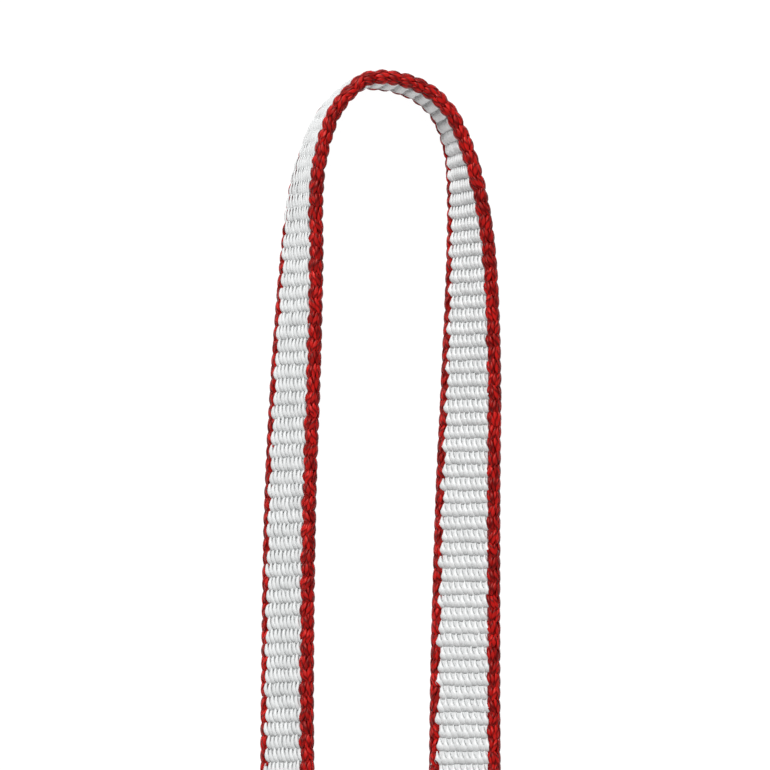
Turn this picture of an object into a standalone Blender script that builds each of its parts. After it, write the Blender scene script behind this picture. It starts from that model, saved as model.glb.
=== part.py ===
"""A sewn sling: one long narrow woven tape whose ends are overlapped and bar-tacked into a loop.

Run it with blender --background --python part.py, or from the text editor. Units are metres and
+Z is up. The loop lies along Y on a flat surface, centred on the origin. At both bights the tape
stands on one edge, and along the legs it leans over until it lies flat.
"""

import math

import bmesh
import bpy
from mathutils import Vector

# The loop
loop_length = 0.600
leg_spacing = 0.0188
twist_length = 0.141

# The tape: a white ground weave between two red selvedges, each drawn in five stretches from the
# inner end round both bights to the outer end
webbing_width = 0.0080
webbing_thickness = 0.00168
selvedge_width = 0.00118
yarn_gap = 0.00025
stretch_gap = 0.00025

# The sewn joint, on the left leg at the middle of the loop
overlap_length = 0.060
layer_gap = 0.00025
climb_length = 0.016
landing_clearance = 0.0012
settle_length = 0.014

# The bar tacks
tack_count = 4
tack_length = 0.0080
tack_span = 0.0040
pass_pitch = 0.0008
thread_diameter = 0.00035
thread_gap = 0.00025
thread_pocket_depth = 0.0003
thread_floor_clearance = 0.0001

# The label, sewn in between the two layers under the last bar tack
label_width = 0.0070
label_thickness = 0.0003
label_gap = 0.00025
label_margin = 0.0008
label_free_length = 0.030
label_corner_radius = 0.0012
label_overhang = 0.0005
hinge_gap_tab = 0.00025
hinge_gap_flap = 0.00020

# How finely the tape is drawn
arch_step = 0.0013
leg_step = 0.0075
ramp_points = 5
selvedge_arc_points = 5
label_corner_segments = 3
cutter_overrun = 0.0005
weld_distance = 0.000001
least_station_step = 0.000001
sharp_edge_degrees = 40.0

# The arch of a bight, read along the tape from the left leg over the crown to the right leg:
# shares of half the leg spacing across and down from the crown, and the lean towards the inside
# of the loop in degrees. The two stations at no depth bound the crown's flat facet.
arch_shares = (
    (-0.885, 2.00, 20.0),
    (-0.850, 1.36, 13.0),
    (-0.777, 0.91, 8.0),
    (-0.590, 0.40, 3.0),
    (-0.385, 0.15, 1.0),
    (-0.255, 0.045, 0.0),
    (-0.130, 0.00, 0.0),
    (0.030, 0.00, 0.0),
    (0.290, 0.05, 0.0),
    (0.530, 0.17, 0.0),
    (0.720, 0.37, -1.0),
    (0.880, 0.74, -5.0),
    (0.972, 1.20, -14.0),
    (1.030, 1.88, -25.0),
)

# The legs below the arch, from the arch down: shares of half the leg spacing across, shares of the
# twist length down from the arch, and the lean in degrees.
left_leg_shares = (
    (-0.948, 0.085, 27.0),
    (-1.010, 0.185, 29.5),
    (-1.040, 0.340, 30.5),
    (-1.030, 0.440, 34.0),
    (-1.010, 0.560, 43.0),
    (-1.000, 0.700, 60.0),
    (-1.000, 0.840, 78.0),
    (-1.000, 0.940, 88.0),
    (-1.000, 1.000, 90.0),
)
right_leg_shares = (
    (1.040, 0.080, -38.0),
    (1.005, 0.180, -46.5),
    (0.980, 0.340, -57.5),
    (0.985, 0.440, -61.0),
    (0.995, 0.560, -66.0),
    (1.000, 0.700, -74.0),
    (1.000, 0.840, -83.0),
    (1.000, 0.940, -89.0),
    (1.000, 1.000, -90.0),
)

# Worked out from the sizes above
leg_offset = leg_spacing / 2
half_thickness = webbing_thickness / 2
edge_radius = half_thickness
edge_span = webbing_width - webbing_thickness
crown_y = loop_length / 2 - half_thickness
arch_depth = arch_shares[0][1] * leg_offset
ground_half_width = webbing_width / 2 - selvedge_width - yarn_gap / 2
selvedge_inner = webbing_width / 2 - selvedge_width + yarn_gap / 2
flat_lean = 90.0

thread_radius = thread_diameter / 2
thread_sink = thread_pocket_depth - thread_gap - thread_radius
joint_lift = thread_radius - thread_sink + thread_floor_clearance
slot_width = thread_diameter + 2 * thread_gap
slot_length = tack_length + slot_width
joint_end_y = overlap_length / 2
tack_spacing = overlap_length / tack_count

lower_bottom_z = joint_lift
lower_top_z = lower_bottom_z + webbing_thickness
layer_rise = webbing_thickness + layer_gap
label_rise = label_thickness + 2 * label_gap - layer_gap
label_z = lower_top_z + label_gap + label_thickness / 2
last_tack_y = joint_end_y - tack_spacing / 2
label_root_y = last_tack_y - slot_length / 2 - label_margin
label_tab_end_y = joint_end_y + label_overhang
hinge_y = label_tab_end_y + hinge_gap_tab


def clear_scene():
    """Removes every object, so that the script starts from an empty scene."""
    for old in list(bpy.data.objects):
        bpy.data.objects.remove(old, do_unlink=True)


def new_collection(name):
    """Makes a collection in the scene."""
    collection = bpy.data.collections.new(name)
    bpy.context.scene.collection.children.link(collection)
    return collection


def yarn_material(name, colour, roughness):
    """Makes a plain yarn material with no metal in it."""
    material = bpy.data.materials.new(name)
    material.use_nodes = True
    shader = material.node_tree.nodes["Principled BSDF"]
    shader.inputs["Base Color"].default_value = (*colour, 1.0)
    shader.inputs["Roughness"].default_value = roughness
    shader.inputs["Metallic"].default_value = 0.0
    return material


def smooth_step(value, start, end):
    """Goes smoothly from 0 at start to 1 at end."""
    share = min(max((value - start) / (end - start), 0.0), 1.0)
    return share * share * (3 - 2 * share)


def curve_between(before, start, end, after, share):
    """A point on the centripetal Catmull-Rom curve from start to end."""
    def knot(first, second):
        return math.sqrt(max((second - first).to_2d().length, least_station_step))

    t0 = 0.0
    t1 = t0 + knot(before, start)
    t2 = t1 + knot(start, end)
    t3 = t2 + knot(end, after)
    t = t1 + (t2 - t1) * share

    def mix(first, second, low, high):
        return first * ((high - t) / (high - low)) + second * ((t - low) / (high - low))

    a1 = mix(before, start, t0, t1)
    a2 = mix(start, end, t1, t2)
    a3 = mix(end, after, t2, t3)
    b1 = mix(a1, a2, t0, t2)
    b2 = mix(a2, a3, t1, t3)
    return mix(b1, b2, t1, t2)


def bight_stations():
    """The far bight's stations (x, y, lean), from the flat left leg to the flat right leg."""
    def leg(shares):
        return [
            Vector((side * leg_offset, crown_y - arch_depth - down * twist_length, lean))
            for side, down, lean in shares
        ]

    arch = [
        Vector((side * leg_offset, crown_y - down * leg_offset, lean))
        for side, down, lean in arch_shares
    ]
    return leg(reversed(left_leg_shares)) + arch + leg(right_leg_shares)


def bight_path():
    """The far bight's points (x, y, lean), close together on the arch and wider on the legs."""
    stations = bight_stations()
    first = 2 * stations[0] - stations[1]
    last = 2 * stations[-1] - stations[-2]
    padded = [first] + stations + [last]
    points = []
    for before, start, end, after in zip(padded, padded[1:], padded[2:], padded[3:]):
        on_arch = min(start.y, end.y) > crown_y - arch_depth - leg_step
        step = arch_step if on_arch else leg_step
        count = max(1, round((end - start).to_2d().length / step))
        points += [curve_between(before, start, end, after, i / count) for i in range(count)]
    return points + [stations[-1]]


def tape_height(lean):
    """Height of the tape's middle when its lower edge rests on the surface."""
    return edge_radius + edge_span / 2 * math.cos(math.radians(lean))


def drawn_back(points):
    """A stretch of the tape whose last point is moved back by half the gap to the next stretch."""
    before, _ = points[-2]
    end, lean = points[-1]
    back = (before - end).normalized() * (stretch_gap / 2)
    return points[:-1] + [(end + back, lean)]


def tape_stretches():
    """The tape's middle line in five stretches, end to end, as points (x, y, z) with their lean."""
    settle_start = hinge_y
    settle_end = settle_start + settle_length
    climb_end = -joint_end_y - landing_clearance
    climb_start = climb_end - climb_length
    rise_start = last_tack_y - tack_spacing + slot_length / 2 + label_margin / 2
    far = bight_path()
    near = [Vector((p.x, -p.y, p.z)) for p in reversed(far)]

    def between(start, end):
        return [start + (end - start) * i / ramp_points for i in range(ramp_points + 1)]

    def on_sewn_leg(y, rise):
        return Vector((-leg_offset, y, half_thickness + rise)), flat_lean

    def on_edge(points):
        return [(Vector((p.x, p.y, tape_height(p.z))), p.z) for p in points]

    far_bight = on_edge(far)
    near_bight = on_edge(near)
    inner_end = [on_sewn_leg(-joint_end_y, joint_lift)]
    for y in between(settle_start, settle_end):
        lift = joint_lift * (1 - smooth_step(y, settle_start, settle_end))
        inner_end.append(on_sewn_leg(y, lift))
    inner_end.append(far_bight[0])
    plain_leg = [far_bight[-1], near_bight[0]]
    outer_end = [near_bight[-1]]
    for y in between(climb_start, climb_end):
        rise = (joint_lift + layer_rise) * smooth_step(y, climb_start, climb_end)
        outer_end.append(on_sewn_leg(y, rise))
    for y in between(rise_start, label_root_y):
        rise = joint_lift + layer_rise + label_rise * smooth_step(y, rise_start, label_root_y)
        outer_end.append(on_sewn_leg(y, rise))
    outer_end.append(on_sewn_leg(joint_end_y, joint_lift + layer_rise + label_rise))

    stretches = {
        "inner_end": inner_end,
        "far_bight": far_bight,
        "plain_leg": plain_leg,
        "near_bight": near_bight,
        "outer_end": outer_end,
    }
    for name, points in stretches.items():
        if name != "outer_end":
            points = drawn_back(points)
        if name != "inner_end":
            points = drawn_back(points[::-1])[::-1]
        stretches[name] = points
    return stretches


def profile_curve(name, outline):
    """A closed flat curve that is swept along the tape; its Y axis runs across the tape."""
    data = bpy.data.curves.new(name, "CURVE")
    data.dimensions = "2D"
    spline = data.splines.new("POLY")
    spline.points.add(len(outline) - 1)
    for point, (x, y) in zip(spline.points, outline):
        point.co = (x, y, 0.0, 1.0)
    spline.use_cyclic_u = True
    profile = bpy.data.objects.new(name, data)
    bpy.context.scene.collection.objects.link(profile)
    return profile


def curve_to_mesh(curve, name, collection):
    """Turns a curve object into a closed mesh object with welded caps, and removes the curve."""
    bpy.context.view_layer.update()
    evaluated = curve.evaluated_get(bpy.context.evaluated_depsgraph_get())
    mesh = bpy.data.meshes.new_from_object(evaluated)
    shape = bmesh.new()
    shape.from_mesh(mesh)
    bmesh.ops.remove_doubles(shape, verts=shape.verts, dist=weld_distance)
    bmesh.ops.recalc_face_normals(shape, faces=shape.faces)
    shape.to_mesh(mesh)
    shape.free()
    mesh.name = name
    piece = bpy.data.objects.new(name, mesh)
    piece.matrix_world = curve.matrix_world
    collection.objects.link(piece)
    bpy.data.objects.remove(curve, do_unlink=True)
    mesh.shade_smooth()
    mesh.set_sharp_from_angle(angle=math.radians(sharp_edge_degrees))
    return piece


def sweep_along_tape(name, outline, collection, material):
    """Sweeps an outline along each stretch of the tape, leaning as the tape leans."""
    profile = profile_curve(name + "_profile", outline)
    pieces = {}
    for stretch, path in tape_stretches().items():
        data = bpy.data.curves.new(f"{name}_{stretch}", "CURVE")
        data.dimensions = "3D"
        data.twist_mode = "Z_UP"
        data.bevel_mode = "OBJECT"
        data.bevel_object = profile
        data.use_fill_caps = True
        spline = data.splines.new("POLY")
        spline.points.add(len(path) - 1)
        for point, (place, lean) in zip(spline.points, path):
            point.co = (*place, 1.0)
            point.tilt = math.radians(lean)
        curve = bpy.data.objects.new(f"{name}_{stretch}_curve", data)
        bpy.context.scene.collection.objects.link(curve)
        piece = curve_to_mesh(curve, f"{name}_{stretch}", collection)
        piece.data.materials.clear()
        piece.data.materials.append(material)
        pieces[stretch] = piece
    bpy.data.objects.remove(profile, do_unlink=True)
    return pieces


def ground_outline():
    """The white ground weave's section: a flat rectangle."""
    return [
        (-half_thickness, -ground_half_width),
        (half_thickness, -ground_half_width),
        (half_thickness, ground_half_width),
        (-half_thickness, ground_half_width),
    ]


def selvedge_outline(side):
    """A selvedge's section: flat on both faces, square inside and round at the tape's edge."""
    centre = edge_span / 2
    outline = [(half_thickness, selvedge_inner)]
    for i in range(selvedge_arc_points):
        angle = math.pi * i / (selvedge_arc_points - 1)
        outline.append((edge_radius * math.cos(angle), centre + edge_radius * math.sin(angle)))
    outline.append((-half_thickness, selvedge_inner))
    return [(x, side * y) for x, y in outline]


def box(name, low, high, collection):
    """A box between two corners, with its place and size applied to its mesh."""
    mesh = bpy.data.meshes.new(name)
    shape = bmesh.new()
    bmesh.ops.create_cube(shape, size=1.0)
    low, high = Vector(low), Vector(high)
    bmesh.ops.scale(shape, vec=high - low, verts=shape.verts)
    bmesh.ops.translate(shape, vec=(low + high) / 2, verts=shape.verts)
    shape.to_mesh(mesh)
    shape.free()
    piece = bpy.data.objects.new(name, mesh)
    collection.objects.link(piece)
    return piece


def cut(piece, cutter):
    """Cuts a cutter out of a piece."""
    modifier = piece.modifiers.new("cut_" + cutter.name, "BOOLEAN")
    modifier.operation = "DIFFERENCE"
    modifier.solver = "EXACT"
    modifier.object = cutter


def cutter_box(name, low, high, collection):
    """A box that only cuts, and is neither drawn solid nor rendered."""
    cutter = box(name, low, high, collection)
    cutter.hide_render = True
    cutter.display_type = "WIRE"
    return cutter


def tack_places():
    """Each bar tack's middle along the joint."""
    first = -joint_end_y + tack_spacing / 2
    return [first + i * tack_spacing for i in range(tack_count)]


def upper_top_at(y):
    """Height of the upper layer's top face at a bar tack."""
    raised = label_rise if y > label_root_y else 0.0
    return lower_bottom_z + layer_rise + raised + webbing_thickness


def cut_stitch_room(number, y, lower_layer, upper_layer, label_tab, cutters):
    """Cuts a tack's two thread slots and its two shallow pockets, where the threads bed in."""
    half_length = slot_length / 2
    top = upper_top_at(y)
    for side_name, side in (("left", -1), ("right", 1)):
        middle = -leg_offset + side * tack_span / 2
        slot = cutter_box(
            f"tack_{number}_{side_name}_slot",
            (middle - slot_width / 2, y - half_length, lower_bottom_z - cutter_overrun),
            (middle + slot_width / 2, y + half_length, top + cutter_overrun),
            cutters,
        )
        cut(lower_layer, slot)
        cut(upper_layer, slot)
        if y > label_root_y:
            cut(label_tab, slot)
    reach = tack_span / 2
    pockets = (
        ("upper", upper_layer, top - thread_pocket_depth, top + cutter_overrun),
        ("lower", lower_layer, lower_bottom_z - cutter_overrun, lower_bottom_z + thread_pocket_depth),
    )
    for face_name, layer, low_z, high_z in pockets:
        pocket = cutter_box(
            f"tack_{number}_{face_name}_pocket",
            (-leg_offset - reach, y - half_length, low_z),
            (-leg_offset + reach, y + half_length, high_z),
            cutters,
        )
        cut(layer, pocket)


def stitch_points(y, lie_z, lock_z):
    """A bar tack thread's route: across, into the tape, along by one pitch, and back across."""
    passes = round(tack_length / pass_pitch) + 1
    reach = tack_span / 2
    points = []
    for i in range(passes):
        side = -1 if i % 2 == 0 else 1
        place = y - tack_length / 2 + tack_length * i / (passes - 1)
        start_x = -leg_offset + side * reach
        end_x = -leg_offset - side * reach
        points += [
            Vector((start_x, place, lock_z)),
            Vector((start_x, place, lie_z)),
            Vector((end_x, place, lie_z)),
            Vector((end_x, place, lock_z)),
        ]
    return points


def stitch_thread(name, points, collection, material):
    """One unbroken thread along its points."""
    data = bpy.data.curves.new(name, "CURVE")
    data.dimensions = "3D"
    data.bevel_depth = thread_radius
    data.bevel_resolution = 1
    data.use_fill_caps = True
    spline = data.splines.new("POLY")
    spline.points.add(len(points) - 1)
    for point, place in zip(spline.points, points):
        point.co = (*place, 1.0)
    curve = bpy.data.objects.new(name + "_curve", data)
    bpy.context.scene.collection.objects.link(curve)
    thread = curve_to_mesh(curve, name, collection)
    thread.data.materials.clear()
    thread.data.materials.append(material)
    return thread


def sew_tack(number, y, collection, material):
    """Lays one bar tack's needle thread on the upper layer and its bobbin thread underneath."""
    top = upper_top_at(y)
    lock_middle = (lower_bottom_z + top) / 2
    lock_reach = (thread_diameter + thread_gap) / 2
    needle_lie = top - thread_sink
    bobbin_lie = lower_bottom_z + thread_sink
    needle = stitch_points(y, needle_lie, lock_middle + lock_reach)
    bobbin = stitch_points(y, bobbin_lie, lock_middle - lock_reach)
    stitch_thread(f"bar_tack_{number}_needle_thread", needle, collection, material)
    stitch_thread(f"bar_tack_{number}_bobbin_thread", bobbin, collection, material)


def make_label_tab(collection, material):
    """The label's root, held between the two layers."""
    half_width = label_width / 2
    half_thick = label_thickness / 2
    tab = box(
        "label_tab",
        (-leg_offset - half_width, label_root_y, label_z - half_thick),
        (-leg_offset + half_width, label_tab_end_y, label_z + half_thick),
        collection,
    )
    tab.data.materials.append(material)
    return tab


def make_label_flap(collection, material):
    """The label's free part, with its origin on the fold that it lifts about."""
    half_width = label_width / 2
    root = hinge_gap_flap
    end = root + label_free_length
    corner = end - label_corner_radius
    inset = half_width - label_corner_radius
    outline = [(half_width, root)]
    for side in (1, -1):
        for i in range(label_corner_segments + 1):
            turn = math.pi / 2 * i / label_corner_segments
            angle = turn if side > 0 else math.pi / 2 + turn
            outline.append((
                side * inset + label_corner_radius * math.cos(angle),
                corner + label_corner_radius * math.sin(angle),
            ))
    outline.append((-half_width, root))

    data = bpy.data.curves.new("label_flap", "CURVE")
    data.dimensions = "2D"
    data.fill_mode = "BOTH"
    data.extrude = label_thickness / 2
    spline = data.splines.new("POLY")
    spline.points.add(len(outline) - 1)
    for point, (x, y) in zip(spline.points, outline):
        point.co = (x, y, 0.0, 1.0)
    spline.use_cyclic_u = True
    curve = bpy.data.objects.new("label_flap_curve", data)
    bpy.context.scene.collection.objects.link(curve)
    flap = curve_to_mesh(curve, "label_flap", collection)
    flap.location = (-leg_offset, hinge_y, label_z)
    flap.data.materials.clear()
    flap.data.materials.append(material)
    return flap


def main():
    """Builds the sling."""
    clear_scene()
    sling = new_collection("sewn_sling")
    cutters = new_collection("cutters")
    white_yarn = yarn_material("white_yarn", (0.86, 0.87, 0.88), 0.45)
    red_yarn = yarn_material("red_yarn", (0.50, 0.012, 0.018), 0.55)
    sewing_thread = yarn_material("sewing_thread", (0.62, 0.02, 0.025), 0.5)
    label_cloth = yarn_material("label_cloth", (0.80, 0.80, 0.79), 0.6)

    webbing = sweep_along_tape("white_webbing", ground_outline(), sling, white_yarn)
    sweep_along_tape("upper_selvedge", selvedge_outline(1), sling, red_yarn)
    sweep_along_tape("lower_selvedge", selvedge_outline(-1), sling, red_yarn)
    label_tab = make_label_tab(sling, label_cloth)
    make_label_flap(sling, label_cloth)
    for number, y in enumerate(tack_places(), start=1):
        cut_stitch_room(
            number, y, webbing["inner_end"], webbing["outer_end"], label_tab, cutters)
        sew_tack(number, y, sling, sewing_thread)


main()
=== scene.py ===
"""The looks of a sewn sling: a narrow woven tape with red edges, overlapped and bar-tacked into a loop.

The tape is woven here end by end: every warp float that shows on its two faces and round its two
edges is a small spindle of yarn, laid out flat by Geometry Nodes and then bent along the tape.
"""

import logging
import math
from dataclasses import dataclass, field
from enum import Enum
from itertools import count as count_from
from typing import Any, Callable, Iterable, Iterator, Sequence

import bmesh
import bpy
import numpy as np
from mathutils import Matrix, Vector


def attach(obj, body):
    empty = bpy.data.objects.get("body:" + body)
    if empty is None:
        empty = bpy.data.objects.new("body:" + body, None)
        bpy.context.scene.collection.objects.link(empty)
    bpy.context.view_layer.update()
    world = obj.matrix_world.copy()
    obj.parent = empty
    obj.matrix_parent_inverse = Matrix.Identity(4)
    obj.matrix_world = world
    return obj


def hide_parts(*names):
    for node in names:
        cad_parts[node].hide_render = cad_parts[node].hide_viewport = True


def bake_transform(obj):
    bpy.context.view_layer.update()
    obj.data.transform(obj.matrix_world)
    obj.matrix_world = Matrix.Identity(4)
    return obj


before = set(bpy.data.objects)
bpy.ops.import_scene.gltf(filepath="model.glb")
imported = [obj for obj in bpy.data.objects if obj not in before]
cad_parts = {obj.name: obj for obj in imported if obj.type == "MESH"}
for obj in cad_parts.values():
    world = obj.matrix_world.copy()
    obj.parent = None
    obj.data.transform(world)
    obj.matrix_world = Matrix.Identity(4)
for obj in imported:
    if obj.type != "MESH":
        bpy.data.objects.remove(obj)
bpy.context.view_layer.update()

log = logging.getLogger("sling")

MM = 0.001
SLING_BODY = "sling"
UP = np.array((0.0, 0.0, 1.0))
PLAIN_WHITE = (1.0, 1.0, 1.0, 1.0)

# The map of one shape in a cell of its own, and the map of all its copies.
OWN_MAP = "own_map"
BAKED_MAP = "OFBake"

# Points of a closed mesh that lie closer together than this are merged.
MERGE_DISTANCE = 0.0005 * MM

# A distance on each side of the label's fold.
LABEL_BEND = 1.25 * MM

# The share of its thickness that the weave loses under a bar tack, and the length in which it
# gets it back.
PRESS_DEPTH = 0.14
PRESS_FADE = 1.0 * MM

# The ground's spread at a bight's left shoulder, by distance along the tape from the crown.
WIDEN_BY = 0.75 * MM
WIDEN_START = (-2.0 * MM, 4.0 * MM)
WIDEN_END = (15.0 * MM, 24.0 * MM)

# Where the ribs lie flatter round a bight.
RELIEF_LOSS = 0.6
RELIEF_START = (-15.5 * MM, -6.0 * MM)
RELIEF_END = (14.0 * MM, 26.0 * MM)

# A thread's grooves: how narrow they are.
GROOVE_SHARPNESS = 3.0

# The label's weave: how narrow the gaps in it are, and how much of its height its ends make.
GAP_SHARPNESS = 2.0
END_RELIEF = 0.4

# The noise of a yarn's filaments, and the values of it that their mask runs between.
FILAMENT_DETAIL = 2.0
FILAMENT_ROUGHNESS = 0.6
FILAMENT_SPAN = (0.32, 0.68)

# The detail of all other noise.
NOISE_DETAIL = 3.0

# How finely a float's shade is cut up to draw which way its strands twist.
STRAND_DRAWS = 8.0

Node = bpy.types.Node
Socket = bpy.types.NodeSocket
Object = bpy.types.Object
Material = bpy.types.Material
Colour = tuple[float, float, float]


class Stretch(Enum):
    """The five stretches of the tape, in order from its inner end to its outer end."""

    INNER_END = "inner_end"
    FAR_BIGHT = "far_bight"
    PLAIN_LEG = "plain_leg"
    NEAR_BIGHT = "near_bight"
    OUTER_END = "outer_end"


class Face(Enum):
    """The two faces of the tape, by the side of the loop that they are on at a bight."""

    OUTER = 1
    INNER = -1


class Edge(Enum):
    """The two edges of the tape, by which way they face at a bight."""

    UPPER = 1
    LOWER = -1


@dataclass(frozen=True)
class TapeSizes:
    """The tape's section and the loop that it makes, as the solids have them."""

    loop_length: float = 600.0 * MM
    leg_spacing: float = 18.8 * MM
    twist_length: float = 141.0 * MM
    width: float = 8.0 * MM
    thickness: float = 1.68 * MM

    @property
    def leg_offset(self) -> float:
        """Distance of each leg's middle line from the loop's middle."""
        return self.leg_spacing / 2

    @property
    def half_thickness(self) -> float:
        """Half the thickness, which is also the radius of the round edges."""
        return self.thickness / 2

    @property
    def edge_centre(self) -> float:
        """Distance of the round edge's axis from the tape's middle line."""
        return self.width / 2 - self.half_thickness

    @property
    def crown_y(self) -> float:
        """Where the tape's middle line crosses the loop's middle at the far bight."""
        return self.loop_length / 2 - self.half_thickness


@dataclass(frozen=True)
class JointSizes:
    """The sewn joint: the overlap, its climb over the tape's own end, the tacks and the label."""

    overlap_length: float = 60.0 * MM
    layer_gap: float = 0.25 * MM
    joint_lift: float = 0.4 * MM
    climb_length: float = 16.0 * MM
    landing_clearance: float = 1.2 * MM
    settle_length: float = 14.0 * MM
    tack_count: int = 4
    tack_length: float = 8.0 * MM
    tack_span: float = 4.0 * MM
    slot_length: float = 8.85 * MM
    label_width: float = 7.0 * MM
    label_thickness: float = 0.3 * MM
    label_gap: float = 0.25 * MM
    label_margin: float = 0.8 * MM
    label_free_length: float = 30.0 * MM
    label_corner_radius: float = 1.2 * MM
    hinge_clearance: float = 0.75 * MM

    @property
    def end_y(self) -> float:
        """Where the tape's outer end lies; its inner end lies as far on the other side."""
        return self.overlap_length / 2

    @property
    def tack_spacing(self) -> float:
        """Distance from one bar tack to the next."""
        return self.overlap_length / self.tack_count

    @property
    def tack_places(self) -> list[float]:
        """Each bar tack's middle along the joint."""
        first = -self.end_y + self.tack_spacing / 2
        return [first + i * self.tack_spacing for i in range(self.tack_count)]

    @property
    def label_rise(self) -> float:
        """How far the label lifts the upper layer above its place without one."""
        return self.label_thickness + 2 * self.label_gap - self.layer_gap

    @property
    def label_root_y(self) -> float:
        """Where the label starts, between the layers."""
        return self.tack_places[-1] - self.slot_length / 2 - self.label_margin

    @property
    def hinge_y(self) -> float:
        """The label's fold, beyond which its part lies free."""
        return self.end_y + self.hinge_clearance


# The arch of a bight, from the left leg over the crown to the right leg: shares of half the leg
# spacing across and down from the crown, and the lean towards the inside of the loop in degrees.
ARCH_SHARES = (
    (-0.885, 2.00, 20.0),
    (-0.850, 1.36, 13.0),
    (-0.777, 0.91, 8.0),
    (-0.590, 0.40, 3.0),
    (-0.385, 0.15, 1.0),
    (-0.255, 0.045, 0.0),
    (-0.130, 0.00, 0.0),
    (0.030, 0.00, 0.0),
    (0.290, 0.05, 0.0),
    (0.530, 0.17, 0.0),
    (0.720, 0.37, -1.0),
    (0.880, 0.74, -5.0),
    (0.972, 1.20, -14.0),
    (1.030, 1.88, -25.0),
)

# The legs below the arch, from the arch down: shares of half the leg spacing across, shares of the
# twist length down from the arch, and the lean in degrees.
LEFT_LEG_SHARES = (
    (-0.948, 0.085, 27.0),
    (-1.010, 0.185, 29.5),
    (-1.040, 0.340, 30.5),
    (-1.030, 0.440, 34.0),
    (-1.010, 0.560, 43.0),
    (-1.000, 0.700, 60.0),
    (-1.000, 0.840, 78.0),
    (-1.000, 0.940, 88.0),
    (-1.000, 1.000, 90.0),
)
RIGHT_LEG_SHARES = (
    (1.040, 0.080, -38.0),
    (1.005, 0.180, -46.5),
    (0.980, 0.340, -57.5),
    (0.985, 0.440, -61.0),
    (0.995, 0.560, -66.0),
    (1.000, 0.700, -74.0),
    (1.000, 0.840, -83.0),
    (1.000, 0.940, -89.0),
    (1.000, 1.000, -90.0),
)
FLAT_LEAN = 90.0


def smooth_step(value: float, start: float, end: float) -> float:
    """Goes smoothly from 0 at start to 1 at end.

    Args:
        value: where to read it.
        start: where it leaves 0.
        end: where it reaches 1.

    Returns:
        The share, from 0 to 1.
    """
    share = min(max((value - start) / (end - start), 0.0), 1.0)
    return share * share * (3 - 2 * share)


def unit(vectors: np.ndarray) -> np.ndarray:
    """Scales each row to length 1."""
    return vectors / np.linalg.norm(vectors, axis=-1, keepdims=True)


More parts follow.
